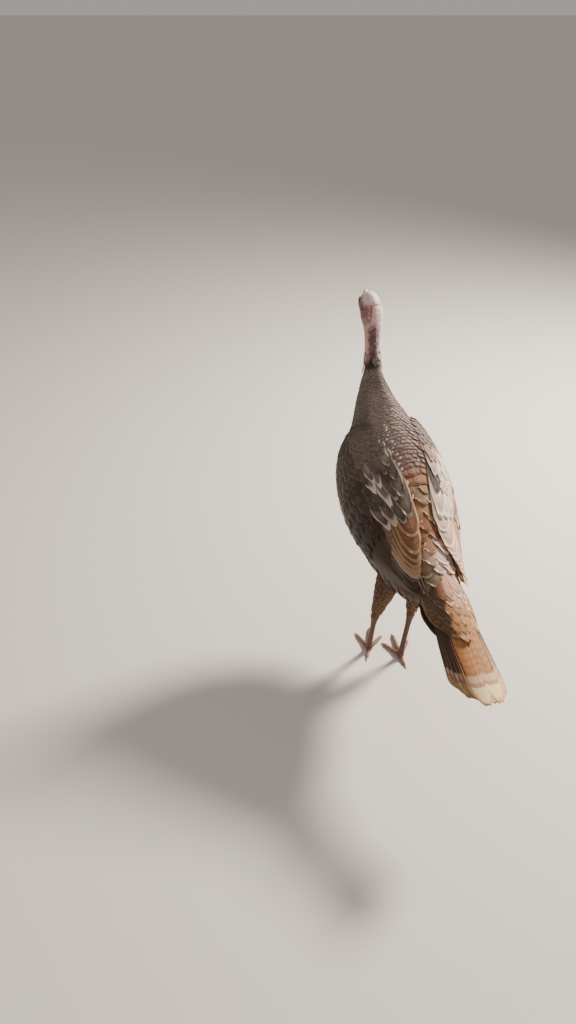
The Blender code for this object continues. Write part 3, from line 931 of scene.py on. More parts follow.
@dataclass(frozen=True)
class FeatherFinish:
    """Vanes: barbs, shaft, pale fringe, dark line, bars and speckles from attributes."""

    name: str = "feather_vanes"
    roughness: float = 0.62
    sheen: float = 0.15
    band_colour: Triple = srgb(34, 28, 26)

    def make(self) -> Material:
        """Builds the material.

        Returns:
            The material.
        """
        g = Graph(self.name, Sheen_Weight=self.sheen, Sheen_Roughness=0.5, Specular_IOR_Level=0.3)
        along, across, one = g.split(g.attribute("vane"))
        tone, bars = g.attribute("tone", "Color"), g.attribute("tone", "Alpha")
        fringe, width = g.attribute("fringe", "Color"), g.attribute("fringe", "Alpha")
        band, speckle, _ = g.split(g.attribute("mark"))
        barbs = g.attribute("mark", "Alpha")
        aside = abs(across)
        phase = (along - aside * 0.30) * barbs
        streak = g.grain(g.combine(phase, aside * 0.9, one * 61.0), 1.0, 2.0, 0.6)
        cloud = g.grain(g.combine(along * 2.2, across * 1.3, one * 83.0), 1.6, 1.0)
        end = ((along - 0.30) / 0.70).most(0.0)
        edge = (end**3.0 + abs(across) ** 3.0) ** 0.333 + (streak - 0.5) * 0.10
        pale = edge.step(1.0 - width, 1.0 - width * 0.45) * end.step(0.0, 0.35)
        dark = edge.step(1.0 - width * 2.8, 1.0 - width * 1.3) * (1.0 - pale) * band
        ripple = (along + across * across * 0.05) * 95.0 + (cloud - 0.5) * 9.0 + streak * 1.5
        barred = ripple.sine().step(-0.2, 0.9) * bars
        spot = g.grain(g.combine(along * 26.0, across * 9.0, one * 71.0), 1.0, 2.0, 0.7)
        spotted = spot.step(0.52, 0.66) * speckle
        colour = g.mix(streak.step(0.25, 0.75) * 0.34, tone, self.band_colour)
        colour = g.mix(cloud.step(0.35, 0.8) * 0.22, colour, fringe)
        colour = g.mix(barred * 0.55, colour, self.band_colour)
        colour = g.mix(spotted * 0.6, colour, fringe)
        colour = self.ends(g, g.mix(dark, colour, self.band_colour), along, streak)
        colour = g.mix(pale * (0.55 + streak * 0.5), colour, fringe)
        quill = (1.0 - aside.step(0.02, 0.05)) * (1.0 - along.step(0.80, 0.98))
        colour = g.mix(quill * 0.30, colour, self.band_colour)
        g.out("Base Color", colour)
        g.out("Roughness", self.roughness + streak * 0.22)
        g.bump(streak * 0.6 + quill * 0.9, 0.00035, 0.55)
        return g.material

    def ends(self, g: Graph, colour: Wire, along: Wire, streak: Wire) -> Wire:
        """The colour with any pattern that the ends of these feathers have."""
        return colour


@dataclass(frozen=True)
class TailFinish(FeatherFinish):
    """The long tail feathers: a pale grey bar, a thin brown one and a broad cream end."""

    name: str = "tail_vanes"
    bar_colour: Triple = srgb(216, 184, 156)
    line_colour: Triple = srgb(182, 132, 96)
    cream: Triple = srgb(255, 229, 172)

    def ends(self, g: Graph, colour: Wire, along: Wire, streak: Wire) -> Wire:
        """Adds the three bars across each feather's end.

        Args:
            g: The graph.
            colour: The colour without them.
            along: The share along the feather.
            streak: The fine streaks of the barbs.

        Returns:
            The colour.
        """
        where = along + (streak - 0.5) * 0.012
        colour = g.mix(where.step(0.735, 0.765) * 0.8, colour, self.bar_colour)
        colour = g.mix(where.step(0.805, 0.815) * 0.85, colour, self.line_colour)
        return g.mix(where.step(0.842, 0.852) * (0.92 - streak * 0.12), colour, self.cream)


@dataclass(frozen=True)
class DownFinish:
    """The skin under the feathers, in the same colours, darker and downy."""

    name: str = "downy_skin"

    def make(self) -> Material:
        """Builds the material.

        Returns:
            The material.
        """
        g = Graph(self.name, Sheen_Weight=0.2, Specular_IOR_Level=0.15)
        spot = g.place()
        fluff = g.grain(spot, 900.0, 3.0, 0.7)
        colour = g.mix(0.35 + fluff * 0.3, g.attribute("tone", "Color"), srgb(30, 24, 21))
        g.out("Base Color", colour)
        g.out("Roughness", 0.8 + fluff * 0.15)
        g.bump(fluff, 0.0006, 0.5)
        return g.material


@dataclass(frozen=True)
class BareSkinFinish:
    """Her naked head and neck: thin pink skin, mauve in places, warty and creased."""

    name: str = "bare_head_skin"
    depth: float = 0.12  # how much light goes through the skin
    mauve: Triple = srgb(158, 132, 152)
    blush: Triple = srgb(176, 104, 96)
    # the folds' reddish tint; laid darker into the creases, it is partly painted shade
    fold: Triple = srgb(126, 62, 54)

    def make(self) -> Material:
        """Builds the material.

        Returns:
            The material.
        """
        g = Graph(self.name, Subsurface_Weight=self.depth, Subsurface_Scale=0.004,
                  Specular_IOR_Level=0.4)
        spot = g.place()
        tone = g.attribute("tone", "Color")
        fold_tint_and_shade = g.attribute("tone", "Alpha")
        patch = g.grain(spot, 90.0, 3.0, 0.6)
        fine = g.grain(spot, 620.0, 3.0, 0.6)
        pores = g.cells(spot, 900.0)
        veins = g.cells(g.place(scale=(1.0, 1.0, 0.5)), 210.0, "DISTANCE_TO_EDGE")
        colour = g.mix(patch.step(0.42, 0.72) * 0.22, tone, self.blush)
        colour = g.mix(patch.step(0.60, 0.38) * 0.14, colour, self.mauve)
        # The folds' reddish tint, darkest in the creases: partly the skin's own colour, partly painted
        # shade.
        colour = g.mix(fold_tint_and_shade * 0.85, colour, self.fold)
        colour = g.mix((1.0 - veins.step(0.0, 0.05)) * 0.22, colour, self.blush)
        colour = g.mix(fine.step(0.45, 0.75) * 0.20, colour, srgb(238, 210, 202))
        g.out("Base Color", colour)
        g.out("Roughness", 0.42 + fine * 0.25)
        g.bump(fine * 0.5 + pores.step(0.0, 0.5) * 0.6 + veins.step(0.0, 0.08) * 0.5, 0.00028, 0.7)
        return g.material


@dataclass(frozen=True)
class HornFinish:
    """Bill and claws: layered horn, darker at the root and worn pale at the tip."""

    name: str
    root: Triple
    tip: Triple
    roughness: float = 0.34

    def make(self) -> Material:
        """Builds the material.

        Returns:
            The material.
        """
        g = Graph(self.name, Subsurface_Weight=0.06, Subsurface_Scale=0.003, Coat_Weight=0.15,
                  Coat_Roughness=0.3)
        share = g.attribute("share", "Fac")
        spot = g.place()
        layers = g.grain(g.place(scale=(1.0, 0.22, 1.0)), 700.0, 3.0, 0.6)
        worn = g.grain(spot, 260.0, 2.0, 0.6)
        colour = g.mix((share + (worn - 0.5) * 0.3).step(0.1, 0.9), self.root, self.tip)
        colour = g.mix(layers.step(0.5, 0.75) * 0.28, colour, srgb(92, 74, 62))
        g.out("Base Color", colour)
        g.out("Roughness", self.roughness + worn * 0.22)
        g.bump(layers * 0.7 + worn * 0.5, 0.00022, 0.6)
        return g.material


@dataclass(frozen=True)
class EyeFinish:
    """A dark brown iris round a black pupil, wet all over."""

    centre: Vector
    name: str = "wet_eye"
    pupil: float = 0.0019
    iris: float = 0.0036

    def make(self) -> Material:
        """Builds the material.

        Returns:
            The material.
        """
        g = Graph(self.name, Coat_Weight=0.5, Coat_Roughness=0.02, Specular_IOR_Level=0.1)
        _, y, z = g.split(g.place((0.0, self.centre.y, self.centre.z)))
        off = (y * y + z * z) ** 0.5
        spokes = g.grain(g.combine(y / (off + 0.0001) * 3.0, z / (off + 0.0001) * 3.0, off * 90.0),
                         2.2, 3.0, 0.6)
        iris = g.mix(spokes, srgb(34, 14, 5), srgb(112, 58, 20))
        iris = g.mix(off.step(self.iris * 0.80, self.iris), iris, srgb(24, 14, 10))
        colour = g.mix(off.step(self.iris, self.iris * 1.12), iris, srgb(88, 74, 66))
        colour = g.mix(off.step(self.pupil * 0.92, self.pupil * 1.06), srgb(6, 5, 5), colour)
        g.out("Base Color", colour)
        g.out("Roughness", 0.08 + off.step(self.iris, self.iris * 1.3) * 0.2)
        return g.material


@dataclass(frozen=True)
class ScaleFinish:
    """Shanks and toes: pinkish brown scutes, darker in the grooves, dusty on the soles."""

    name: str = "leg_scutes"
    plate: Triple = srgb(100, 62, 45)
    groove: Triple = srgb(66, 42, 34)
    dust: Triple = srgb(174, 142, 116)

    def make(self) -> Material:
        """Builds the material.

        Returns:
            The material.
        """
        g = Graph(self.name, Subsurface_Weight=0.05, Subsurface_Scale=0.003)
        spot = g.place()
        sunk = g.attribute("groove", "Fac")
        patch = g.grain(spot, 70.0, 3.0, 0.6)
        fine = g.grain(spot, 800.0, 3.0, 0.6)
        _, _, height = g.split(spot)
        colour = g.mix(patch.step(0.35, 0.7) * 0.5, self.plate, srgb(112, 70, 56))
        colour = g.mix(fine.step(0.5, 0.8) * 0.25, colour, self.dust)
        colour = g.mix(sunk * 0.8, colour, self.groove)
        dusty = (1.0 - height.step(0.001, 0.012)) * (0.35 + patch * 0.5)
        colour = g.mix(dusty, colour, self.dust)
        g.out("Base Color", colour)
        g.out("Roughness", 0.48 + fine * 0.25 + sunk * 0.1)
        g.bump(fine * 0.6 - sunk * 0.6, 0.0002, 0.6)
        return g.material


@dataclass(frozen=True)
class FloorFinish:
    """A plain pale studio floor."""

    name: str = "studio_floor"
    colour: Triple = srgb(226, 222, 216)

    def make(self) -> Material:
        """Builds the material.

        Returns:
            The material.
        """
        g = Graph(self.name, Base_Color=(*self.colour, 1.0), Roughness=0.9,
                  Specular_IOR_Level=0.1)
        return g.material


# ---- Markings ----


class Flank(Enum):
    """The two sides of her body."""

    LEFT = 1
    RIGHT = -1

    @property
    def word(self) -> str:
        """The side's name in the CAD's node names."""
        return self.name.lower()


class Dress(NamedTuple):
    """What a feather wears: its colour, its fringe's colour and width, its dark line."""

    tone: Triple
    fringe: Triple
    fringe_width: float
    band: float


class Zone(NamedTuple):
    """The dress at one station of her body."""

    station: float
    dress: Dress


class Patch(NamedTuple):
    """A soft-edged spot where feathers are dressed otherwise."""

    middle: Pair
    reach: Pair
    dress: Dress


def varied(colours: Array, chance: Chance, light: float, warmth: float) -> Array:
    """Colours that differ a little from feather to feather.

    Args:
        colours: Linear colours, one row for each feather.
        chance: The source of the differences.
        light: How much they differ in lightness.
        warmth: And in warmth.

    Returns:
        The new colours.
    """
    n = len(colours)
    shade = np.exp(light * chance.standard_normal((n, 1)))
    warm = warmth * chance.standard_normal((n, 1)) * np.array([[1.0, 0.1, -1.0]])
    return np.clip(colours * shade * np.exp(warm), 0.002, 0.95)


def wear(
    dress: Dress,
    n: int,
    chance: Chance,
    bars: float = 0.0,
    speckle: float = 0.0,
    light: float = 0.09,
) -> Look:
    """The look of feathers in one dress, with small differences between them.

    Args:
        dress: The dress.
        n: How many feathers wear it.
        chance: The source of the differences.
        bars: The strength of their fine cross bars.
        speckle: The strength of their speckles.
        light: How much they differ in lightness.

    Returns:
        Their look.
    """
    return Look(
        varied(np.tile(dress.tone, (n, 1)), chance, light, 0.03),
        varied(np.tile(dress.fringe, (n, 1)), chance, light * 0.6, 0.02),
        dress.fringe_width * (1 + 0.25 * chance.standard_normal(n)).clip(0.3, 1.8),
        dress.band * chance.uniform(0.6, 1.25, n),
        bars * chance.uniform(0.4, 1.25, n),
        speckle * chance.uniform(0.4, 1.25, n),
    )


def merged(look: Look, other: Look, share: Array, keys: Sequence[str]) -> Look:
    """A look that goes over to another in some of its values.

    Args:
        look: The look where the share is 0.
        other: The look where the share is 1.
        share: The share for each feather, or one for all.
        keys: The names of the values that change.

    Returns:
        The new look.
    """
    mixed = {}
    for key in keys:
        mine, theirs = getattr(look, key), getattr(other, key)
        part = np.reshape(share, (-1, 1)) if mine.ndim == 2 else share
        mixed[key] = mine * (1 - part) + theirs * part
    return look._replace(**mixed)


def paint(look: Look, spots: Array, patches: Sequence[Patch], chance: Chance) -> Look:
    """Dresses the feathers that lie in patches in the patches' dress.

    Args:
        look: The feathers' own look.
        spots: Where each lies, in the patches' two coordinates.
        patches: Painted in order, the later over the earlier.
        chance: The source of small differences.

    Returns:
        The new look.
    """
    n = len(spots)
    for patch in patches:
        away = np.linalg.norm((spots - np.array(patch.middle)) / np.array(patch.reach), axis=1)
        share = 1 - blend(0.80, 1.10, away + chance.normal(0, 0.07, n))
        look = merged(look, wear(patch.dress, n, chance), share, Dress._fields)
    return look


TAUPE = Dress(srgb(148, 127, 118), srgb(172, 153, 144), 0.11, 0.28)
SHADED_TAUPE = Dress(srgb(118, 102, 92), srgb(144, 128, 118), 0.11, 0.40)
MANTLE_END = Dress(srgb(140, 112, 103), srgb(166, 139, 128), 0.12, 0.42)
TAN = Dress(srgb(146, 112, 82), srgb(190, 158, 124), 0.12, 0.25)
RUFOUS = Dress(srgb(148, 94, 62), srgb(182, 134, 98), 0.11, 0.30)
BUFF = Dress(srgb(196, 140, 98), srgb(222, 182, 146), 0.14, 0.25)
PALE_RUMP = Dress(srgb(246, 206, 186), srgb(253, 232, 212), 0.22, 0.40)
GREY_COVERT = Dress(srgb(144, 118, 92), srgb(196, 174, 148), 0.18, 0.30)
OLIVE = Dress(srgb(88, 60, 40), srgb(116, 86, 62), 0.12, 0.20)
DARK_VENT = Dress(srgb(66, 44, 28), srgb(96, 70, 48), 0.12, 0.20)
GREY_QUILL = Dress(srgb(102, 88, 76), srgb(164, 148, 132), 0.13, 0.5)
PALE_EDGE = Dress(srgb(120, 102, 90), srgb(204, 186, 170), 0.24, 0.4)
WHITE_EDGE = Dress(srgb(150, 128, 118), srgb(238, 222, 212), 0.36, 0.45)
BREAST = Dress(srgb(138, 120, 108), srgb(178, 160, 146), 0.19, 0.60)


@dataclass(frozen=True)
class Markings:
    """The colours of her body's plumage, which the skin below it shares."""

    back: tuple[Zone, ...] = (
        Zone(0.0, BUFF),
        Zone(1.2, BUFF),
        Zone(1.7, RUFOUS),
        Zone(2.4, RUFOUS),
        Zone(2.9, TAN),
        Zone(3.3, TAN),
        Zone(3.7, RUFOUS),
        Zone(4.15, MANTLE_END),
        Zone(4.7, MANTLE_END),
        Zone(5.4, TAUPE),
        Zone(8.0, TAUPE),
        Zone(9.2, SHADED_TAUPE),
        Zone(10.4, Dress(srgb(108, 92, 84), srgb(164, 150, 142), 0.14, 0.70)),
        Zone(11.0, Dress(srgb(66, 54, 50), srgb(140, 128, 120), 0.14, 0.80)),
    )
    belly: tuple[Zone, ...] = (
        Zone(0.0, DARK_VENT),
        Zone(1.6, DARK_VENT),
        Zone(2.8, OLIVE),
        Zone(4.4, Dress(srgb(122, 98, 78), srgb(170, 148, 124), 0.20, 0.45)),
        Zone(6.0, BREAST),
        Zone(9.0, BREAST),
        Zone(10.4, SHADED_TAUPE),
        Zone(11.0, Dress(srgb(74, 62, 56), srgb(146, 134, 126), 0.14, 0.80)),
    )
    # (station, degrees round from her back)
    patches: tuple[Patch, ...] = (
        Patch((0.80, -22.0), (0.95, 34.0), PALE_RUMP),
        Patch((0.25, 36.0), (0.85, 26.0), GREY_COVERT),
        Patch((2.6, -22.0), (0.60, 7.0), PALE_RUMP),
        Patch((7.6, 78.0), (3.0, 46.0), SHADED_TAUPE),
    )

    def at(self, station: Array, angle: Array) -> dict[str, Array]:
        """The dress at places of her body, before the patches.

        Args:
            station: Sections counted from the tail's root.
            angle: Radians round from her back.

        Returns:
            Arrays by the names of a dress's fields.
        """
        down = -np.cos(angle)
        low = blend(-0.55, 0.35, down) * blend(9.5, 5.0, station)
        low = low + blend(-0.2, 0.8, down) * blend(5.0, 9.5, station)
        found = {}
        for name in Dress._fields:
            above, below = (self.along(zones, name, station) for zones in (self.back, self.belly))
            share = low[..., None]
            mixed = above * (1 - share) + below * share
            found[name] = mixed[..., 0] if mixed.shape[-1] == 1 else mixed
        return found

    @staticmethod
    def along(zones: Sequence[Zone], name: str, station: Array) -> Array:
        """One field of the dress along her body.

        Args:
            zones: The dresses of the back or of the belly.
            name: The field.
            station: Sections counted from the tail's root.

        Returns:
            The field's numbers at each station, along a new last axis.
        """
        stations = [zone.station for zone in zones]
        rows = np.array([getattr(zone.dress, name) for zone in zones], float)
        columns = rows.reshape(len(zones), -1).T
        return np.stack([np.interp(station, stations, column) for column in columns], axis=-1)


# ---- What the sub-assemblies share ----


def with_alpha(colours: Array, alpha: Array | float) -> Array:
    """Colours with a fourth number each."""
    return np.column_stack([colours, np.broadcast_to(alpha, len(colours))])


@dataclass
class Assembly:
    """A part of the hen that is made by itself."""

    shop: Workshop

    def plumage(self, name: str, slot: str) -> Plumage:
        """An empty piece for feathers."""
        return Plumage(self.shop, name, slot)

    def cad_shape(self, names: Sequence[str]) -> bmesh.types.BMesh:
        """The CAD nodes' solids together, with their loose triangles joined up.

        Args:
            names: The nodes.

        Returns:
            The shape.
        """
        shape = bmesh.new()
        for name in names:
            shape.from_mesh(self.shop.frame["nodes"][name].data)
        bmesh.ops.remove_doubles(shape, verts=shape.verts, dist=1e-6)
        return shape

    def piece(
        self, name: str, shape: "bmesh.types.BMesh | bpy.types.Mesh", finish: str, slot: str,
        layers: dict[str, Array], replaces: Sequence[str] = (),
    ) -> None:
        """Makes a piece of a shape.

        Args:
            name: The piece's name.
            shape: A bmesh, which is freed, or a mesh, which is kept.
            finish: The name of its finish.
            slot: The record's material slot.
            layers: What the finish reads: numbers, or colours with alpha, for each vertex.
            replaces: The CAD nodes that it stands for.
        """
        if isinstance(shape, bmesh.types.BMesh):
            mesh = bpy.data.meshes.new(name)
            shape.to_mesh(mesh)
            shape.free()
        else:
            mesh = shape
            mesh.name = name
        for key, values in layers.items():
            write_layer(mesh, key, "FLOAT" if values.ndim == 1 else "FLOAT_COLOR", values)
        finish_piece(mesh, self.shop.finishes[finish], slot, replaces)


# ---- Body plumage ----


RUMP_OUTLINE = VaneOutline(0.55, 0.50, 0.66, 0.60, 0.30, 0.012)
MANTLE_OUTLINE = VaneOutline(0.60, 0.35, 0.82, 0.90, 0.12, 0.03)
NECK_OUTLINE = VaneOutline(0.60, 0.35, 0.82, 0.90, 0.12, 0.04)


class Region(NamedTuple):
    """A part of the body's plumage with its own kind of feather."""

    piece: str
    top: float  # the station that it reaches up to
    grid: VaneGrid
    outline: VaneOutline
    overlap: float  # a feather's length in rows
    breadth: float  # a feather's width in spacings
    stand: float  # how far its tip stands off, in lengths


@dataclass
class BodyPlumage(Assembly):
    """The contour feathers of trunk and neck, in staggered rows round the body."""

    markings: Markings
    wings: Sequence[WingShape]
    start: float = -0.25
    top: float = 10.95
    over_left: float = 12.0  # degrees that the back's feathers reach over each wing
    over_right: float = 4.0
    # (station, metres between rows, metres between feathers of a row)
    spacing: tuple[Triple, ...] = (
        (-0.3, 0.0120, 0.0150),
        (0.8, 0.0180, 0.0230),
        (1.6, 0.0215, 0.0270),
        (3.5, 0.0215, 0.0270),
        (4.3, 0.0110, 0.0140),
        (5.0, 0.0088, 0.0118),
        (6.0, 0.0080, 0.0108),
        (8.0, 0.0068, 0.0088),
        (9.8, 0.0052, 0.0066),
        (11.0, 0.0040, 0.0048),
    )
    regions: tuple[Region, ...] = (
        Region("trunk", 4.05, VaneGrid(7, 6, 1.2), RUMP_OUTLINE, 2.5, 1.50, 0.085),
        Region("trunk", 7.6, VaneGrid(4, 4), MANTLE_OUTLINE, 2.8, 1.75, 0.070),
        Region("neck", 20.0, VaneGrid(4, 4), NECK_OUTLINE, 2.8, 1.75, 0.10),
    )
    surface: SurfaceMap = field(init=False)

    def __post_init__(self) -> None:
        """Works out the skin that the feathers are rooted in."""
        self.surface = body_map(0.0, PLUMAGE_TOP, COAT_DEPTH)

    def rows(self) -> list[Triple]:
        """Each row's place along the body and its spacings, from the neck down.

        Returns:
            For each row, its place, the metres to the next row and those between feathers.
        """
        stops = np.array(self.spacing)
        rows, along = [], self.top / PLUMAGE_TOP
        turn = np.linspace(0, 1, 48, endpoint=False)
        while along * PLUMAGE_TOP > self.start:
            station = along * PLUMAGE_TOP
            step = float(np.interp(station, stops[:, 0], stops[:, 1]))
            apart = float(np.interp(station, stops[:, 0], stops[:, 2]))
            rows.append((along, step, apart))
            reach = self.surface.sizes(np.full(48, along), turn)[0].mean()
            along -= step / reach
        return rows

    def row(self, index: int, along: float, step: float, apart: float) -> Array:
        """The feathers of one row, apart from those that the wings would hide.

        Args:
            index: The row's number. Every second row is set off by half a feather.
            along: Its place along the body.
            step: Metres to the next row.
            apart: Metres between its feathers.

        Returns:
            One line for each feather: along, across, its share of the step and its spacing.
        """
        chance = self.shop.chance
        turn = np.linspace(0, 1, 241)
        line, _ = self.surface.at(np.full(241, along), turn)
        run = np.concatenate([[0], np.cumsum(np.linalg.norm(np.diff(line, axis=0), axis=1))])
        count = max(8, round(run[-1] / apart))
        marks = (np.arange(count) + 0.5 * (index % 2)) / count * run[-1]
        marks = (marks + chance.normal(0, 0.10 * apart, count)) % run[-1]
        across = np.interp(marks, run, turn)
        rows = along + chance.normal(0, 0.07, count) * step / 0.06 / PLUMAGE_TOP
        mean = self.surface.sizes(np.full(count, along), across)[0]
        local = step * mean / self.surface.sizes(np.full(48, along), turn[:-1:5])[0].mean()
        local = np.clip(local, 0.72 * step, 1.35 * step)
        keep = np.ones(count, bool)
        degrees = (across * 360 + 180) % 360 - 180
        # The rump's feathers reach far under her right wing.
        under = 30.0 * float(blend(2.9, 1.9, np.array(along * PLUMAGE_TOP)))
        for wing in self.wings:
            tucked = self.over_left if wing.side > 0 else self.over_right + under
            keep &= ~wing.covers(rows * PLUMAGE_TOP, degrees, tucked)
        apart_now = np.full(count, run[-1] / count)
        return np.stack([rows, across, local, apart_now], axis=1)[keep]

    def build(self) -> None:
        """Lays the rows and makes two pieces of them: the trunk's and the neck's."""
        found: dict[Region, list[Array]] = {region: [] for region in self.regions}
        for index, (along, step, apart) in enumerate(self.rows()):
            region = next(one for one in self.regions if along * PLUMAGE_TOP < one.top)
            found[region].append(self.row(index, along, step, apart))
        pieces = {name: self.plumage(f"{name}_feathers", "plumage") for name in ("trunk", "neck")}
        for region, rows in found.items():
            self.lay(pieces[region.piece], region, np.concatenate(rows))
        for piece in pieces.values():
            piece.build()

    def lay(self, piece: Plumage, region: Region, feathers: Array) -> None:
        """Lays one region's feathers.

        Args:
            piece: The piece that they go to.
            region: Their region.
            feathers: Along, across, share of the step and spacing of each.
        """
        n, chance = len(feathers), self.shop.chance
        root, step, apart = feathers[:, :2], feathers[:, 2], feathers[:, 3]
        station = root[:, 0] * PLUMAGE_TOP
        angle = root[:, 1] * FULL_TURN
        length = step * region.overlap * chance.uniform(0.94, 1.08, n)
        width = apart * region.breadth * chance.uniform(0.94, 1.08, n)
        unit = self.surface.sizes(root[:, 0], root[:, 1])
        tip = root.copy()
        tip[:, 0] -= length / unit[0]
        # Feathers of the back fan a little towards the sides, and none lies quite straight.
        drift = 0.10 * np.sin(angle) * blend(7.0, 3.0, station) + chance.normal(0, 0.05, n)
        tip[:, 1] += drift * length / unit[1]
        middle = (0.35 * root + 0.65 * tip) * np.array([PLUMAGE_TOP, 360.0])
        middle[:, 1] = (middle[:, 1] + 180) % 360 - 180
        found = self.markings.at(middle[:, 0], np.radians(middle[:, 1]))
        look = Look(
            varied(found["tone"], chance, 0.09, 0.03),
            varied(found["fringe"], chance, 0.06, 0.02),
            found["fringe_width"] * chance.uniform(0.7, 1.3, n),
            found["band"] * chance.uniform(0.6, 1.3, n),
            0.45 * blend(4.6, 2.5, station) * chance.uniform(0.2, 1.2, n),
            0.16 * chance.uniform(0.2, 1.2, n),
        )
        look = paint(look, middle, self.markings.patches, chance)
        # Beside a wing's upper edge the back's feathers reach up and over it.
        degrees = np.abs(middle[:, 1])
        beside = blend(12, 22, degrees) * blend(52, 36, degrees) * blend(7.0, 6.2, station)
        high = 0.0007 + region.stand * length * chance.uniform(0.85, 1.2, n)
        high = np.minimum(high, 0.0044) * blend(11.2, 10.4, station) + 0.0022 * beside
        batch = Batch(root, tip, width, 0.0002, high, look, barbs=40.0)
        piece.lay(self.surface, batch, region.grid, region.outline)


@dataclass
class ThighPlumage(Assembly):
    """The feathers of one drumstick, shorter and darker towards the hock."""

    flank: Flank
    knee: Triple
    hock: Triple
    start: float = -0.30
    end: float = 0.90
    radii: Pair = (0.0105, 0.0275)
    fullest: float = 0.05
    sink: float = 0.0030
    upper: Dress = Dress(srgb(80, 54, 36), srgb(108, 80, 58), 0.14, 0.15)
    lower: Dress = Dress(srgb(128, 94, 68), srgb(156, 122, 94), 0.14, 0.15)

    def surface(self) -> SurfaceMap:
        """The drumstick's skin, from its top to the hock.

        Returns:
            Its map.
        """
        along, across = grid_of(50, 48, True)
        share = self.start + (self.end - self.start) * along
        knee, hock = np.array(place(*self.knee)), np.array(place(*self.hock))
        axis = (hock - knee) / np.linalg.norm(hock - knee)
        upward = square_to(axis, (0.0, 1.0, 0.0))
        aside = np.cross(axis, upward)
        full = np.cos(0.43 * math.pi * (share - self.fullest)) ** 2
        radius = self.radii[0] + (self.radii[1] - self.radii[0]) * full - self.sink
        centre = knee + (hock - knee) * share[..., None]
        angle = across * FULL_TURN
        ring = aside * np.cos(angle)[..., None] + upward * np.sin(angle)[..., None]
        points = centre + ring * radius[..., None]
        return SurfaceMap(points, True, centre)

    def build(self) -> None:
        """Lays rows of soft feathers that point down the leg."""
        surface, chance = self.surface(), self.shop.chance
        piece = self.plumage(f"thigh_feathers_{self.flank.word}", "plumage")
        along, index = 0.0, 0
        while along < 0.975:
            unit = surface.sizes(np.array([along]), np.array([0.0]))[0][0]
            girth = surface.girth(along, 24)
            step = 0.0085 - 0.0048 * along
            n = max(9, round(girth / (0.0098 - 0.0052 * along)))
            root = pairs(
                along + chance.normal(0, 0.12 * step / unit, n),
                (np.arange(n) + 0.5 * (index % 2)) / n + chance.normal(0, 0.08 / n, n),
            )
            length = step * 3.1 * chance.uniform(0.9, 1.25, n)
            tip = root + pairs(length / unit, chance.normal(0, 0.12, n) * length / girth)
            upper, lower = (wear(one, n, chance, light=0.12) for one in (self.upper, self.lower))
            look = merged(upper, lower, along, ("tone", "fringe"))
            high = 0.0006 + 0.13 * length * chance.uniform(0.8, 1.3, n)
            batch = Batch(root, tip, girth / n * 1.5, 0.0002, high, look, barbs=34.0)
            piece.lay(surface, batch, VaneGrid(4, 4), VaneOutline(tip=0.45, notch=0.08))
            along += step / unit
            index += 1
        piece.build()


# ---- Wings ----


class WingDress(NamedTuple):
    """The dress of one wing's groups of feathers, and the patches over them."""

    coverts: Dress
    quills_inner: Dress
    quills_middle: Dress
    quills_outer: Dress
    inner: Pair  # the shares of the secondaries where the first gives way
    outer: Pair  # and where the last takes over, 1 being the outermost
    patches: tuple[Patch, ...]  # (along, across) the wing


# Her left wing, turned from the key light, is dressed darker than her right: partly painted shade.
LEFT_WING = WingDress(
    coverts=Dress(srgb(88, 72, 62), srgb(108, 92, 82), 0.11, 0.30),
    quills_inner=Dress(srgb(138, 96, 66), srgb(172, 132, 98), 0.10, 0.35),
    quills_middle=Dress(srgb(136, 106, 92), srgb(172, 144, 128), 0.22, 0.35),
    quills_outer=Dress(srgb(60, 37, 22), srgb(78, 52, 33), 0.06, 0.35),
    inner=(0.52, 0.34),
    outer=(0.50, 0.64),
    patches=(
        Patch((0.19, 0.00), (0.27, 0.34), SHADED_TAUPE),
        Patch((0.30, 0.80), (0.26, 0.06), Dress(srgb(104, 88, 74), srgb(184, 168, 150), 0.26, 0.2)),
        # Painted shade: dark brown over the lower quills towards the tip.
        Patch((0.58, 0.66), (0.20, 0.34), Dress(srgb(46, 29, 18), srgb(62, 42, 27), 0.12, 0.25)),
        Patch((0.42, 0.52), (0.07, 0.20), Dress(srgb(66, 50, 40), srgb(92, 76, 64), 0.12, 0.3)),
        Patch((0.550, 0.16), (0.085, 0.20), GREY_QUILL),
        Patch((0.545, 0.34), (0.030, 0.10), PALE_EDGE),
        Patch((0.445, 0.22), (0.050, 0.075), WHITE_EDGE),
    ),
)
# Her right wing, turned to the key light, is dressed paler than her left: partly painted light.
RIGHT_WING = WingDress(
    coverts=Dress(srgb(136, 104, 86), srgb(186, 154, 132), 0.16, 0.55),
    quills_inner=Dress(srgb(230, 190, 166), srgb(246, 220, 196), 0.12, 0.30),
    quills_middle=Dress(srgb(208, 150, 124), srgb(234, 192, 162), 0.11, 0.30),
    quills_outer=Dress(srgb(178, 120, 80), srgb(244, 204, 144), 0.12, 0.40),
    inner=(0.42, 0.18),
    outer=(0.45, 0.75),
    patches=(
        Patch((0.18, 0.05), (0.25, 0.45), SHADED_TAUPE),
        Patch((0.40, 0.42), (0.10, 0.40), Dress(srgb(184, 134, 108), srgb(226, 186, 158), 0.24, 0.6)),
        Patch((0.54, 0.18), (0.19, 0.20), Dress(srgb(250, 226, 208), srgb(254, 242, 230), 0.16, 0.4)),
        Patch((0.60, 0.60), (0.24, 0.22), Dress(srgb(206, 146, 122), srgb(232, 188, 158), 0.16, 0.3)),
        Patch((0.50, 0.94), (0.46, 0.20), Dress(srgb(190, 138, 94), srgb(246, 210, 152), 0.28, 0.2)),
        Patch((0.49, 0.05), (0.030, 0.050), Dress(srgb(48, 40, 38), srgb(150, 138, 130), 0.10, 0.2)),
    ),
)

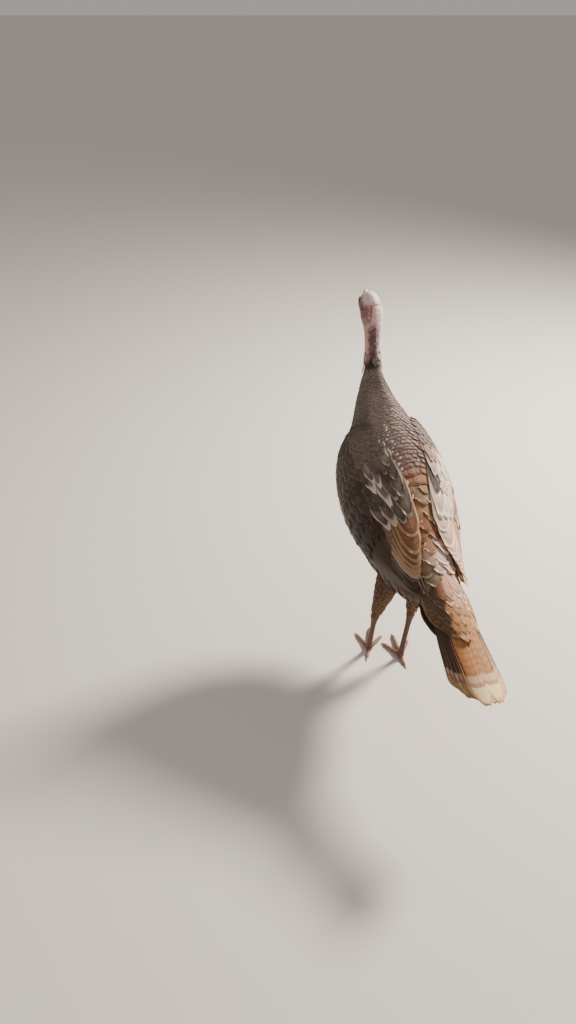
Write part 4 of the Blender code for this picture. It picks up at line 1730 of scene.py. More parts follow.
PRIMARY_OUTLINE = VaneOutline(0.8, 0.25, 0.72, 0.5, 0.06, 0.006)
SECONDARY_OUTLINE = VaneOutline(0.75, 0.3, 0.80, 0.66, 0.12, 0.008)
COVERT_OUTLINE = VaneOutline(0.6, 0.4, 0.62, 0.62, 0.24, 0.025)
LESSER_OUTLINE = VaneOutline(0.55, 0.40, 0.70, 0.78, 0.19, 0.03)


class Rank(NamedTuple):
    """One row of coverts: where it is rooted and ends, along the wing, and its sizes."""

    root: float
    tip: float
    count: int
    width: float
    high: float


def long_chart(n: int, row: float, length: float) -> dict[str, object]:
    """Where n long feathers lie side by side on the bake map, as two fields of a batch."""
    return {"chart": pairs((np.arange(n) + 0.5) / n, row), "chart_size": (0.9 / n, length)}


@dataclass
class Wing(Assembly):
    """A folded wing: marginal, lesser, median and greater coverts over its quills."""

    flank: Flank
    dress: WingDress
    sink: float = 0.0030
    lesser_rows: int = 15
    lesser_span: Pair = (0.012, 0.325)
    # From the lowest and longest row to the highest.
    ranks: tuple[Rank, ...] = (
        Rank(0.405, 0.590, 9, 0.032, 0.0036),
        Rank(0.375, 0.505, 11, 0.025, 0.0034),
        Rank(0.345, 0.440, 12, 0.022, 0.0032),
        Rank(0.315, 0.390, 14, 0.019, 0.0030),
    )
    primaries: int = 7
    secondaries: int = 11

    def __post_init__(self) -> None:
        """Works out the wing's surface."""
        self.shape = WingShape(self.flank.value)
        self.surface = self.shape.outer(self.sink)

    def pad(self) -> None:
        """Makes the closed pad inside the wing that carries its feathers."""
        sheet = bmesh.new()
        bmesh.ops.create_grid(sheet, x_segments=24, y_segments=64, size=0.5)
        bmesh.ops.solidify(sheet, geom=sheet.faces[:], thickness=1.0)
        corners = np.array([vert.co[:] for vert in sheet.verts])
        along = corners[:, 1] * 0.93 + 0.485
        inset = 0.015 + 0.27 * blend(0.40, 0.80, along)
        across = inset + (corners[:, 0] + 0.5) * (0.985 - inset)
        top = corners[:, 2] > corners[:, 2].mean()
        depth = np.maximum(self.shape.depth(along, across) - self.sink - 0.0004, 0.0003)
        spots = self.shape.points(along, across, self.shape.lift + np.where(top, depth, 0.0))
        for vert, spot in zip(sheet.verts, spots):
            vert.co = spot
        bmesh.ops.recalc_face_normals(sheet, faces=sheet.faces)
        share = blend(0.25, 0.6, along)[:, None]
        quills = np.add(self.dress.quills_middle.tone, self.dress.quills_outer.tone) / 2
        tone = np.array(self.dress.coverts.tone) * (1 - share) + quills * share
        word = self.flank.word
        self.piece(
            f"wing_pad_{word}", sheet, "down", "wing_coverts",
            {"tone": with_alpha(tone * 0.75, 1.0)}, (f"wing_{word}_coverts",),
        )

    def primary_quills(self, piece: Plumage) -> None:
        """Lays the primaries, the outermost lowest.

        Args:
            piece: The piece that they go to.
        """
        n, chance = self.primaries, self.shop.chance
        share = np.linspace(1, 0, n)  # 1 is the outermost
        look = wear(self.dress.quills_outer, n, chance, bars=0.35, light=0.06)
        batch = Batch(
            pairs(0.46, 0.74 + 0.16 * share), pairs(1.0 - 0.05 * share, 0.66 + 0.30 * share),
            0.030, 0.0002 + 0.0004 * (1 - share), 0.0006 + 0.0016 * (1 - share), look,
            camber=0.03, tilt=0.0003, thickness=0.0005, rise=1.0, barbs=150.0,
            **long_chart(n, 0.25, 0.40),
        )
        piece.lay(self.surface, batch, VaneGrid(26, 6, 1.1), PRIMARY_OUTLINE)

    def secondary_quills(self, piece: Plumage) -> None:
        """Lays the secondaries over the primaries, the outermost lowest.

        Args:
            piece: The piece that they go to.
        """
        n, chance = self.secondaries, self.shop.chance
        share = np.linspace(1, 0, n)  # 1 is the outermost
        # The innermost end well short of the wing's tip, each a step behind the last.
        tip = pairs(0.70 + 0.26 * share**0.55, 0.08 + 0.60 * share)
        inner = blend(*self.dress.inner, share)[:, None]
        outer = blend(*self.dress.outer, share)[:, None]
        looks = [
            wear(dress, n, chance, bars=0.35, light=0.06)
            for dress in (self.dress.quills_inner, self.dress.quills_middle, self.dress.quills_outer)
        ]
        parts = (inner, 1 - inner - outer * (1 - inner), outer * (1 - inner))
        look = looks[1]._replace(
            tone=sum(part * one.tone for part, one in zip(parts, looks)),
            fringe=sum(part * one.fringe for part, one in zip(parts, looks)),
            fringe_width=sum(part[:, 0] * one.fringe_width for part, one in zip(parts, looks)),
        )
        batch = Batch(
            pairs(0.43, 0.06 + 0.68 * share), tip, 0.034 + 0.006 * (1 - share), 0.0010,
            0.0014 + 0.0034 * (1 - share), look, camber=0.04, tilt=0.0004 * self.flank.value,
            thickness=0.0005, rise=1.0, barbs=130.0, **long_chart(n, 0.75, 0.40),
        )
        piece.lay(self.surface, batch, VaneGrid(24, 6, 1.1), SECONDARY_OUTLINE)

    def painted(self, root: Array, tip: Array, bars: float, speckle: float) -> Look:
        """The look of coverts, with the wing's patches.

        Args:
            root: Their roots.
            tip: Their tips.
            bars: The strength of their cross bars.
            speckle: The strength of their speckles.

        Returns:
            Their look.
        """
        chance = self.shop.chance
        look = wear(self.dress.coverts, len(root), chance, bars, speckle)
        return paint(look, 0.35 * root + 0.65 * tip, self.dress.patches, chance)

    def rank(self, piece: Plumage, rank: Rank) -> None:
        """Lays one row of coverts across the wing.

        Args:
            piece: The piece that they go to.
            rank: The row.
        """
        n, chance = rank.count, self.shop.chance
        across = (np.arange(n) + 0.5 + chance.normal(0, 0.08, n)) / n
        root = pairs(rank.root + chance.normal(0, 0.004, n), -0.03 + 1.02 * across)
        reach = rank.tip + 0.045 * blend(1.15, 0.25, across)
        tip = pairs(reach + chance.normal(0, 0.006, n), root[:, 1] * 0.96 + 0.02)
        look = self.painted(root, tip, 0.15, 0.25)
        # The inner ones lie over the innermost quills, which stand highest.
        high = rank.high * chance.uniform(0.9, 1.15, n) + 0.0026 * blend(0.40, 0.10, across)
        batch = Batch(
            root, tip, rank.width * chance.uniform(0.93, 1.08, n), 0.0006, high, look,
            camber=0.08, tilt=0.0005, thickness=0.0003, barbs=70.0, chart_size=(0.06, 0.05),
        )
        piece.lay(self.surface, batch, VaneGrid(9, 6, 1.2), COVERT_OUTLINE)

    def lesser(self, piece: Plumage) -> None:
        """Lays small coverts in staggered rows over the forearm and the wing's front edge.

        Args:
            piece: The piece that they go to.
        """
        chance = self.shop.chance
        start, end = self.lesser_span
        step = (end - start) / (self.lesser_rows - 1)
        for index, along in enumerate(np.linspace(start, end, self.lesser_rows)[::-1]):
            girth = self.surface.girth(along, 20)
            fit = max(5, round(girth / (0.0096 + 0.008 * along)))
            across = (np.arange(fit + 1) - 0.45 + 0.5 * (index % 2)) / fit
            n = fit + 1
            root = pairs(along + chance.normal(0, 0.003, n), across)
            tip = root + pairs(step * 2.9, chance.normal(0, 0.10 / n, n))
            look = self.painted(root, tip, 0.0, 0.2)
            high = 0.0026 * chance.uniform(0.8, 1.2, n)
            batch = Batch(root, tip, girth / n * 1.5, 0.0004, high, look, barbs=44.0)
            piece.lay(self.surface, batch, VaneGrid(4, 4), LESSER_OUTLINE)

    def build(self) -> None:
        """Makes the wing's three pieces."""
        word = self.flank.word
        self.pad()
        quills = self.plumage(f"wing_quills_{word}", "flight_feathers")
        self.primary_quills(quills)
        self.secondary_quills(quills)
        quills.build((f"wing_{word}_secondaries", f"wing_{word}_primaries"))
        coverts = self.plumage(f"wing_coverts_{word}", "wing_coverts")
        for rank in self.ranks:
            self.rank(coverts, rank)
        self.lesser(coverts)
        coverts.build()


# ---- Tail ----


TAIL_OUTLINE = VaneOutline(0.62, 0.55, 0.86, 0.66, 0.075, 0.006)
PAD_OUTLINE = VaneOutline(0.6, 0.45, 0.70, 0.60, 0.14, 0.02)


class TailPad(NamedTuple):
    """The coverts over or under the tail's root."""

    name: str
    slot: str
    above: bool
    reach: float  # as a share of the tail's length
    swell: float
    length: float  # of a feather
    width: float


@dataclass
class Tail(Assembly):
    """The closed tail: eighteen long feathers, with coverts over and under their roots."""

    shape: TailShape = TailShape()
    pairs: int = 9
    top: Dress = Dress(srgb(190, 128, 76), srgb(216, 166, 112), 0.06, 1.3)
    # the drooping outer pairs: dark brown, partly their own colour, partly painted shade
    side: Dress = Dress(srgb(78, 42, 27), srgb(118, 78, 52), 0.04, 1.0)
    covert: Dress = Dress(srgb(200, 141, 95), srgb(212, 160, 114), 0.05, 0.5)
    covert_patches: tuple[Patch, ...] = (
        # A dark patch over her left side, away from the key light: painted shade.
        Patch((0.3, 1.0), (1.4, 0.36), Dress(srgb(100, 72, 50), srgb(124, 95, 70), 0.08, 0.30)),
        Patch((-0.05, 0.30), (0.24, 0.30), Dress(srgb(216, 166, 130), srgb(236, 200, 166), 0.14, 0.5)),
    )
    under: Dress = Dress(srgb(96, 66, 46), srgb(150, 120, 92), 0.16, 0.4)
    layer: float = 0.00052  # how far each pair lies under the next
    pads: tuple[TailPad, ...] = (
        TailPad("tail_coverts_upper", "flight_feathers", True, 0.42, 0.0115, 0.078, 0.0235),
        TailPad("tail_coverts_under", "plumage", False, 0.50, 0.0260, 0.056, 0.022),
    )

    def quills(self) -> None:
        """Lays the long feathers, the outermost pair lowest and the middle pair on top."""
        n, chance = self.pairs * 2, self.shop.chance
        pair = np.repeat(np.arange(self.pairs)[::-1], 2)
        side = np.tile([1.0, -1.0], self.pairs)
        middle = (pair + 0.55) / self.pairs
        rounding = self.shape.rounding * np.where(side > 0, 0.95, 0.50)
        reach = 1 - rounding * np.abs(middle * 0.97) ** 2.6 - 0.014 * chance.random(n)
        centre = (middle - 0.24) * side + chance.normal(0, 0.012, n)
        # The pairs on her left, turned from the key light, are dressed darker: painted shade.
        share = blend(0.10, 0.62, (pair + np.where(side > 0, 0.0, -3.5)) / (self.pairs - 1))
        top, edge = (wear(one, n, chance, 0.5, light=0.05) for one in (self.top, self.side))
        look = merged(top, edge, share, ("tone", "fringe"))
        high = 0.0050 - self.layer * pair + 0.0001 * (side > 0)
        batch = Batch(
            pairs(0.0, 0.5 + centre * 0.5 * 0.62), pairs(reach, 0.5 + centre * 0.5), 0.036,
            high, high - 0.0012, look, camber=0.02, tilt=0.0, thickness=0.00045, rise=1.0,
            barbs=190.0, **long_chart(n, 0.5, 0.9),
        )
        piece = self.plumage("tail_feathers", "tail_feathers")
        piece.lay(self.shape.blade(), batch, VaneGrid(30, 8, 1.1), TAIL_OUTLINE)
        piece.build(("tail",), "long_vanes")

    def coverts(self, pad: TailPad) -> None:
        """Lays the coverts over or under the roots of the long feathers.

        Args:
            pad: Which coverts.
        """
        chance = self.shop.chance
        surface = self.shape.pad(pad.reach, pad.swell, pad.above, 0.0022)
        piece = self.plumage(f"{pad.name}_vanes", pad.slot)
        for index, end in enumerate(np.linspace(1.12, 0.20, 6)):
            n = 6 + index % 2
            across = (np.arange(n) + 0.5 + chance.normal(0, 0.06, n)) / n
            # The middle ones reach furthest, so that the pad ends in a soft point.
            ends = end - 0.16 * (2 * across - 1) ** 2 + chance.normal(0, 0.035, n)
            length = pad.length * chance.uniform(0.88, 1.12, n)
            unit = surface.sizes(np.clip(ends - 0.4, 0, 1), across)[0]
            root = pairs(ends - length / unit, across)
            tip = pairs(ends, 0.5 + (across - 0.5) * 0.98)
            look = wear(self.covert if pad.above else self.under, n, chance, 0.35, light=0.07)
            if pad.above:
                look = paint(look, 0.4 * root + 0.6 * tip, self.covert_patches, chance)
            batch = Batch(
                root, tip, pad.width, 0.0004, 0.0022, look, camber=0.06, thickness=0.0003,
                barbs=70.0, chart_size=(0.03, 0.03),
            )
            piece.lay(surface, batch, VaneGrid(12, 6, 1.2), PAD_OUTLINE)
        piece.build((pad.name,))

    def build(self) -> None:
        """Makes the tail's three pieces."""
        self.quills()
        for pad in self.pads:
            self.coverts(pad)


# ---- Skins ----


def remeshed(shape: bmesh.types.BMesh, voxel: float, rounds: int) -> bpy.types.Mesh:
    """One skin over all of a shape's solids.

    Args:
        shape: Closed solids, which may touch or overlap. It is freed.
        voxel: The new faces' size in metres.
        rounds: How many times the skin is smoothed.

    Returns:
        The new mesh.
    """
    mesh = bpy.data.meshes.new("solids")
    shape.to_mesh(mesh)
    shape.free()
    holder = bpy.data.objects.new("solids", mesh)
    bpy.context.scene.collection.objects.link(holder)
    remesh = holder.modifiers.new("skin", "REMESH")
    remesh.mode, remesh.voxel_size = "VOXEL", voxel
    soften = holder.modifiers.new("soften", "SMOOTH")
    soften.factor, soften.iterations = 0.5, rounds
    graph = bpy.context.evaluated_depsgraph_get()
    graph.update()
    skin = bpy.data.meshes.new_from_object(holder.evaluated_get(graph))
    bpy.data.objects.remove(holder)
    bpy.data.meshes.remove(mesh)
    return skin


def corners_of(mesh: bpy.types.Mesh) -> tuple[Array, Array]:
    """A mesh's vertices and their normals.

    Args:
        mesh: The mesh.

    Returns:
        Two arrays of points, one row for each vertex.
    """
    spots = np.empty(len(mesh.vertices) * 3)
    mesh.vertices.foreach_get("co", spots)
    normals = np.empty(len(mesh.vertices) * 3)
    mesh.vertex_normals.foreach_get("vector", normals)
    return spots.reshape(-1, 3), normals.reshape(-1, 3)


def move_corners(mesh: bpy.types.Mesh, spots: Array) -> None:
    """Puts a mesh's vertices at new places."""
    mesh.vertices.foreach_set("co", spots.astype(np.float32).ravel())
    mesh.update()


def lumps(spots: Array, size: float, seed: float = 0.0) -> Array:
    """Soft noise from -1 to 1 at each point, with lumps of about this size."""
    shift = Vector((seed, seed * 0.7, -seed))
    return np.array([noise.noise(Vector(spot) / size + shift) for spot in spots])


def beads(spots: Array, size: float, seed: float = 0.0) -> Array:
    """Round beads at each point.

    Args:
        spots: The points.
        size: Metres that they lie apart, about.
        seed: Picks the pattern.

    Returns:
        Heights from 0 to 1, one for each point.
    """
    shift = Vector((seed, -seed, seed * 0.3))
    near = np.array([noise.voronoi(Vector(spot) / size + shift)[0][0] for spot in spots])
    return np.clip(1.0 - near / 0.62, 0.0, 1.0)


class BodyFinder:
    """Finds the station and the angle of points near her body's surface."""

    def __init__(self, start: float, end: float, rows: int, columns: int) -> None:
        """Makes a grid of known places between two stations.

        Args:
            start: The first station.
            end: The last station.
            rows: How many rings of places there are.
            columns: How many places each ring has.
        """
        along, across = grid_of(rows, columns, True)
        self.station = (start + (end - start) * along).ravel()
        self.angle = (across * FULL_TURN).ravel()
        spots = body_points(self.station, self.angle)
        self.tree = KDTree(len(spots))
        for index, spot in enumerate(spots):
            self.tree.insert(spot, index)
        self.tree.balance()

    def find(self, spots: Array) -> tuple[Array, Array]:
        """Finds where points lie.

        Args:
            spots: The points.

        Returns:
            The station and the angle, from -pi to pi, of each.
        """
        index = np.array([self.tree.find(spot)[1] for spot in spots])
        angle = (self.angle[index] + math.pi) % FULL_TURN - math.pi
        return self.station[index], angle


@dataclass
class BodySkin(Assembly):
    """The skin that the feathers of trunk, neck and thighs grow from."""

    markings: Markings
    voxel: float = 0.0030
    rounds: int = 6
    nodes: tuple[str, ...] = ("trunk", "neck_lower", "thigh_left", "thigh_right")

    def build(self) -> None:
        """Makes it as one piece, below the CAD surface by the coat's depth."""
        mesh = remeshed(self.cad_shape(self.nodes), self.voxel, self.rounds)
        spots, normals = corners_of(mesh)
        station, angle = BodyFinder(0.0, PLUMAGE_TOP, 110, 60).find(spots)
        move_corners(mesh, spots - normals * (COAT_DEPTH + 0.0004))
        tones = with_alpha(self.markings.at(station, angle)["tone"], 1.0)
        self.piece("body_skin", mesh, "down", "plumage", {"tone": tones}, self.nodes)


# ---- Head ----

HAIR = Dress(srgb(44, 34, 32), srgb(84, 70, 64), 0.1, 0.2)
TUFT = Dress(srgb(136, 120, 112), srgb(196, 182, 172), 0.16, 0.6)
HAIR_OUTLINE = VaneOutline(0.9, 0.3, 0.3, 0.12, 0.0, 0.0)


class Hairs(NamedTuple):
    """A group of bristles."""

    count: int
    stations: Pair
    spread: float  # degrees on both sides of the nape
    length: float
    width: float
    stand: float


@dataclass
class Head(Assembly):
    """Her bare head and neck: one skin with lids, ears, folds and warts."""

    eye_radius: float = 0.0056
    ear: Triple = (0.1865, 0.0196, 0.7060)
    voxel: float = 0.00085
    rounds: int = 4
    crease_angle: float = math.radians(27)  # of the fold from the nape down the neck
    cut: Pair = (10.45, 11.0)  # stations of the skin's end and above it
    bristled: Pair = (10.4, 19.0)
    nodes: tuple[str, ...] = ("head", "neck_upper", "snood", "dewlap")
    hairs: tuple[Hairs, ...] = (
        Hairs(560, (10.7, 12.0), 180.0, 0.0085, 0.00050, 0.0016),
        Hairs(300, (11.8, 14.2), 48.0, 0.0060, 0.00036, 0.0013),
        Hairs(150, (12.0, 15.0), 180.0, 0.0040, 0.00028, 0.0012),
        Hairs(110, (14.8, 18.6), 60.0, 0.0034, 0.00024, 0.0010),
        Hairs(40, (16.2, 16.8), 110.0, 0.0030, 0.00024, 0.0010),
    )

    def eye_centre(self, side: int) -> Vector:
        """The middle of an eyeball."""
        return place(EYE[0], HEAD_LEFT + (EYE[1] - HEAD_LEFT) * side, EYE[2])

    def skin(self) -> None:
        """Makes the skin from the bill's root down to inside the neck's plumage."""
        shape = self.cad_shape(["neck_lower"])
        # The plumage hides its lower end, which is cut square to the neck.
        turn = np.linspace(0, FULL_TURN, 24, endpoint=False)
        low, high = (body_points(np.full(24, at), turn).mean(axis=0) for at in self.cut)
        geometry = shape.verts[:] + shape.edges[:] + shape.faces[:]
        bmesh.ops.bisect_plane(
            shape, geom=geometry, plane_co=low, plane_no=high - low, clear_inner=True
        )
        bmesh.ops.holes_fill(shape, edges=[edge for edge in shape.edges if edge.is_boundary])
        for name in self.nodes:
            shape.from_mesh(self.shop.frame["nodes"][name].data)
        bmesh.ops.remove_doubles(shape, verts=shape.verts, dist=1e-6)
        mesh = remeshed(shape, self.voxel, self.rounds)
        spots, normals = corners_of(mesh)
        station, angle = BodyFinder(9.6, 20.0, 260, 72).find(spots)
        lift, fold_tint_and_shade, dark = self.relief(spots, station, angle)
        spots = spots + normals * lift[:, None]
        # Its end is drawn in towards the middle of the neck, so that no rim shows.
        share = (spots - low) @ (high - low) / np.sum((high - low) ** 2)
        middle = low + (high - low) * share[:, None]
        spots += (middle - spots) * (0.40 * blend(11.0, 10.5, station))[:, None]
        move_corners(mesh, spots)
        tones = with_alpha(self.tones(spots, station, angle, dark), fold_tint_and_shade)
        self.piece("head_skin", mesh, "bare_skin", "bare_skin", {"tone": tones}, self.nodes)

    def relief(self, spots: Array, station: Array, angle: Array) -> tuple[Array, Array, Array]:
        """The skin's folds, warts and rings.

        Args:
            spots: The skin's points.
            station: Where along the body each is.
            angle: And where round it, in radians from the nape.

        Returns:
            How far each point is raised, how much of the folds' tint and painted shade its creases give
            it, and how much painted shade of an ear opening it has, 0 to 1.
        """
        soft = lumps(spots, 0.006)
        fine = lumps(spots, 0.0017, 5.0)
        warts = beads(spots, 0.0030, 3.0)
        small = beads(spots, 0.0016, 9.0)
        neck = blend(11.0, 11.6, station) * blend(14.6, 13.6, station)
        front = blend(0.2, 0.9, -np.cos(angle))
        nape = blend(0.5, 0.95, np.cos(angle))
        lift = -(COAT_DEPTH + 0.0012) * blend(11.35, 10.8, station)
        rings = np.sin(station * FULL_TURN * 6.2 + 2.6 * soft + 0.8 * np.sin(angle * 2))
        lift += 0.00026 * rings * neck * (0.6 + 0.5 * soft)
        patch = blend(-0.15, 0.45, soft)
        wart_area = neck * (0.35 + 0.65 * front) + blend(13.5, 14.5, station) * blend(
            17.2, 15.5, station
        ) * (0.30 * nape + 0.55 * front)
        lift += 0.00075 * warts**1.4 * wart_area * (0.4 + 0.6 * patch)
        lift += 0.00022 * small * blend(12.0, 14.0, station)
        lift += 0.00010 * fine
        # Painted shade in the grooves between the neck's rings.
        fold_tint_and_shade = np.clip(-rings, 0, 1) * 0.35 * neck
        dark = np.zeros(len(spots))

        across = np.angle(np.exp(1j * (angle - self.crease_angle))) * 0.0185
        window = blend(14.2, 14.9, station) * blend(16.1, 15.6, station)
        bend = across - 0.0012 * np.sin(station * 3.1)
        fold = bell(bend, 0.0011) * window
        lip = bell(bend + 0.0032, 0.0017) * window
        lift += -0.0008 * fold + 0.0007 * lip
        # The fold down the nape: its own reddish tint with painted shade in it.
        fold_tint_and_shade = np.maximum(fold_tint_and_shade, np.minimum(1.0, 1.1 * bell(bend, 0.0019) * window))
        # A low ledge where the crown's paler skin ends, and wrinkles across the nape.
        ledge = blend(0.2, 0.8, np.cos(angle))
        lift += 0.0006 * bell(station - 16.15, 0.30) * ledge
        lift += -0.0004 * bell(station - 15.75, 0.16) * ledge
        wrinkle = np.sin(station * FULL_TURN * 3.4 + 3.0 * soft + 1.4 * np.cos(angle * 3))
        # Full cheeks, down to where the head meets the neck.
        cheek = bell(station - 14.9, 0.8) * blend(0.35, 0.85, np.abs(np.sin(angle)))
        lift += 0.0018 * cheek
        nuchal = blend(14.4, 15.0, station) * blend(18.0, 16.4, station) * blend(-0.4, 0.5, np.cos(angle))
        lift += 0.00016 * wrinkle * nuchal
        # Painted shade in the nape's wrinkles.
        fold_tint_and_shade = np.maximum(fold_tint_and_shade, 0.25 * np.clip(-wrinkle, 0, 1) * nuchal)
        # The skin of the face rolls up to the bill's root.
        forward = -(spots[:, 1] - ORIGIN[1])
        roll = bell(forward - 0.2246, 0.0017) * blend(0.698, 0.702, spots[:, 2])
        lift += 0.0012 * roll * (0.8 + 0.5 * soft)

        for side in (1, -1):
            eye = np.array(self.eye_centre(side))
            away = np.linalg.norm((spots - eye)[:, 1:], axis=1)
            near = (spots[:, 0] - ORIGIN[0] - HEAD_LEFT) * side > 0.008
            ring = bell(away - 0.0082, 0.0012) * near
            hollow = bell(away - 0.0103, 0.0011) * near
            lift += 0.00035 * ring - 0.00030 * hollow
            # Painted shade in the hollow round the eye.
            fold_tint_and_shade = np.maximum(fold_tint_and_shade, 0.5 * hollow)
            ear = np.array(place(self.ear[0], HEAD_LEFT + self.ear[1] * side, self.ear[2]))
            away = np.linalg.norm(spots - ear, axis=1)
            lift += 0.0013 * bell(away - 0.0036, 0.0013)
            hole = bell(away, 0.0018)
            lift += -0.0024 * hole
            # The ear opening is painted dark: painted shade in the hole.
            dark = np.maximum(dark, np.minimum(1.0, 1.4 * hole))
            # A fold runs from under the eye to behind the bill.
            gape = np.array(place(0.2140, HEAD_LEFT + 0.0150 * side, 0.7035))
            away = np.linalg.norm((spots - gape) * np.array([1.0, 0.45, 1.6]), axis=1)
            line = bell(away, 0.0022) * near
            lift += -0.0004 * line
            # Painted shade in the fold from the eye to the bill.
            fold_tint_and_shade = np.maximum(fold_tint_and_shade, 0.7 * line)
        return lift, np.clip(fold_tint_and_shade, 0, 1), dark

    def tones(
        self, spots: Array, station: Array, angle: Array, dark: Array
    ) -> Array:
        """The skin's colour, before the finish mottles it.

        Args:
            spots: The skin's points.
            station: Where along the body each is.
            angle: And where round it, in radians from the nape.
            dark: How much painted shade of an ear opening it has, 0 to 1.

        Returns:
            A linear colour for each point.
        """
        pale = np.array(srgb(252, 238, 228))
        pink = np.array(srgb(228, 182, 176))
        painted_light_pink = np.array(srgb(255, 228, 236))
        mauve = np.array(srgb(102, 66, 76))
        dark_nape_and_shade = np.array(srgb(80, 57, 58))
        red = np.array(srgb(204, 132, 122))
        count = len(spots)
        tone = np.tile(pink, (count, 1))

        def over(colour: Array, share: Array) -> None:
            """Puts a colour over the tone so far."""
            tone[:] = tone * (1 - share[:, None]) + colour * share[:, None]

        cosine = np.cos(angle)
        degrees = np.degrees(angle) + 16 * lumps(spots, 0.005, 2.0)
        neck = blend(14.5, 13.0, station + 0.35 * lumps(spots, 0.004, 7.0))
        over(red, 0.55 * blend(0.3, 0.95, -cosine) * blend(16.5, 13.0, station))
        # A pale pink strip down her right side, which faces the key light: painted light.
        over(painted_light_pink, 0.92 * blend(4, -16, degrees) * blend(-128, -96, degrees) * blend(16.2, 15.4, station))
        # The nape's dark skin and hair, reaching further round her left side: partly its own colour,
        # partly painted shade.
        over(dark_nape_and_shade, 0.90 * blend(-20, 6, degrees) * blend(74, 34, degrees) * neck)
        over(mauve, 0.75 * blend(0.75, 0.15, np.abs(cosine)) * blend(15.4, 16.4, station))
        # A dark mauve patch on her left cheek and neck, away from the key light: painted shade.
        side = blend(26, 48, degrees) * blend(128, 100, degrees)
        drift = station + 0.5 * lumps(spots, 0.005, 11.0)
        over(mauve, 0.85 * side * blend(13.5, 14.9, drift) * blend(17.0, 16.0, station))
        over(pale, 0.95 * blend(0.25, 0.75, cosine) * blend(15.7, 16.4, station))
        over(np.array(srgb(70, 58, 56)), blend(11.5, 10.9, station) * 0.8)
        # Painted shade in the ear openings.
        over(np.array(srgb(46, 26, 26)), dark)
        return tone

    def lid(self, flank: Flank) -> None:
        """The ring of both lids round one eye, closed at its rim.

        Args:
            flank: The eye's side.
        """
        side = flank.value
        columns, rows = 64, 12
        ring = bmesh.new()
        bmesh.ops.create_grid(ring, x_segments=columns, y_segments=rows, size=0.5)
        spots = np.array([vert.co[:] for vert in ring.verts])
        turn = (spots[:, 0] + 0.5) * FULL_TURN
        out = spots[:, 1] + 0.5
        # The opening is an almond, a little higher at the back.
        corner = np.abs(np.cos(turn)) ** 3
        inner = 0.0034 + 0.0011 * corner
        rim = blend(0.0, 0.16, out)
        radius = inner + (0.0084 - inner) * np.maximum(0.0, out - 0.16) / 0.84
        ball = self.eye_radius + 0.00005 + 0.00055 * rim
        sphere = np.sqrt(np.maximum(ball**2 - radius**2, 0.0))
        head = 0.0034 - 0.14 * (radius - 0.0056)
        folds = 0.00013 * np.sin(out * FULL_TURN * 2.5) * blend(0.2, 0.4, out)
        share = blend(0.0044, 0.0064, radius)
        depth = sphere * (1 - share) + head * share + folds - 0.0009 * blend(0.82, 1.0, out)
        centre = np.array(self.eye_centre(side))
        for vert, a, r, d in zip(ring.verts, turn, radius, depth):
            vert.co = Vector(centre) + Vector((side * d, -r * math.cos(a), r * math.sin(a) * 0.92))
        bmesh.ops.remove_doubles(ring, verts=ring.verts, dist=2e-5)
        bmesh.ops.recalc_face_normals(ring, faces=ring.faces)
        ring.faces.ensure_lookup_table()
        if sum(face.normal.x for face in ring.faces) * side < 0:
            bmesh.ops.reverse_faces(ring, faces=ring.faces)
        bmesh.ops.solidify(ring, geom=ring.faces[:], thickness=0.0004)
        out = np.array([
            math.hypot(vert.co.y - centre[1], vert.co.z - centre[2]) for vert in ring.verts
        ])
        dark = blend(0.0052, 0.0034, out)[:, None]
        tone = np.array(srgb(158, 118, 124)) * (1 - dark) + np.array(srgb(92, 66, 66)) * dark
        tones = with_alpha(tone, 0.3 * blend(0.0050, 0.0034, out))
        self.piece(f"eyelids_{flank.word}", ring, "eyelids", "bare_skin", {"tone": tones})

    def eyeball(self, flank: Flank) -> None:
        """One eyeball, its poles along its line of sight.

        Args:
            flank: Its side.
        """
        ball = bmesh.new()
        bmesh.ops.create_uvsphere(ball, u_segments=40, v_segments=28, radius=self.eye_radius)
        bmesh.ops.rotate(ball, verts=ball.verts, matrix=Matrix.Rotation(math.pi / 2, 3, "Y"))
        bmesh.ops.translate(ball, verts=ball.verts, vec=self.eye_centre(flank.value))
        word = flank.word
        self.piece(f"eyeball_{word}", ball, "eye", "eye", {}, (f"eye_{word}",))

    def strands(
        self, surface: SurfaceMap, count: int, stations: Pair,
        degrees: Pair, lengths: Pair, sway: float,
    ) -> tuple[Array, Array]:
        """Roots and tips of scattered strands that point down the neck.

        Args:
            surface: What they lie on.
            count: How many there are.
            stations: The stations between which they are rooted.
            degrees: And the degrees round from the nape.
            lengths: The least and the greatest length.
            sway: How much they turn aside.

        Returns:
            Their roots and their tips.
        """
        chance = self.shop.chance
        start, end = self.bristled
        station = chance.uniform(*stations, count)
        turn = chance.uniform(*degrees, count) / 360
        root = pairs((station - start) / (end - start), turn % 1.0)
        unit = surface.sizes(root[:, 0], root[:, 1])
        reach = chance.uniform(*lengths, count)
        return root, root - pairs(reach / unit[0], chance.normal(0, sway, count) * reach / unit[1])

    def bristles(self) -> None:
        """Hair-like feathers, thick at the foot of the bare neck and thin on the crown."""
        chance = self.shop.chance
        surface = body_map(*self.bristled, 0.0004, 260)
        piece = self.plumage("head_bristles", "plumage")
        for count, stations, spread, length, width, stand in self.hairs:
            lengths = (0.6 * length, 1.3 * length)
            root, tip = self.strands(surface, count, stations, (-spread, spread), lengths, 0.25)
            look = wear(HAIR, count, chance)
            batch = Batch(
                root, tip, width * chance.uniform(0.7, 1.3, count), -0.0004,
                stand * chance.uniform(0.5, 1.8, count), look, camber=0.0, tilt=0.0,
                thickness=0.00018, barbs=6.0,
            )
            piece.lay(surface, batch, VaneGrid(4, 1, 1.0), HAIR_OUTLINE)
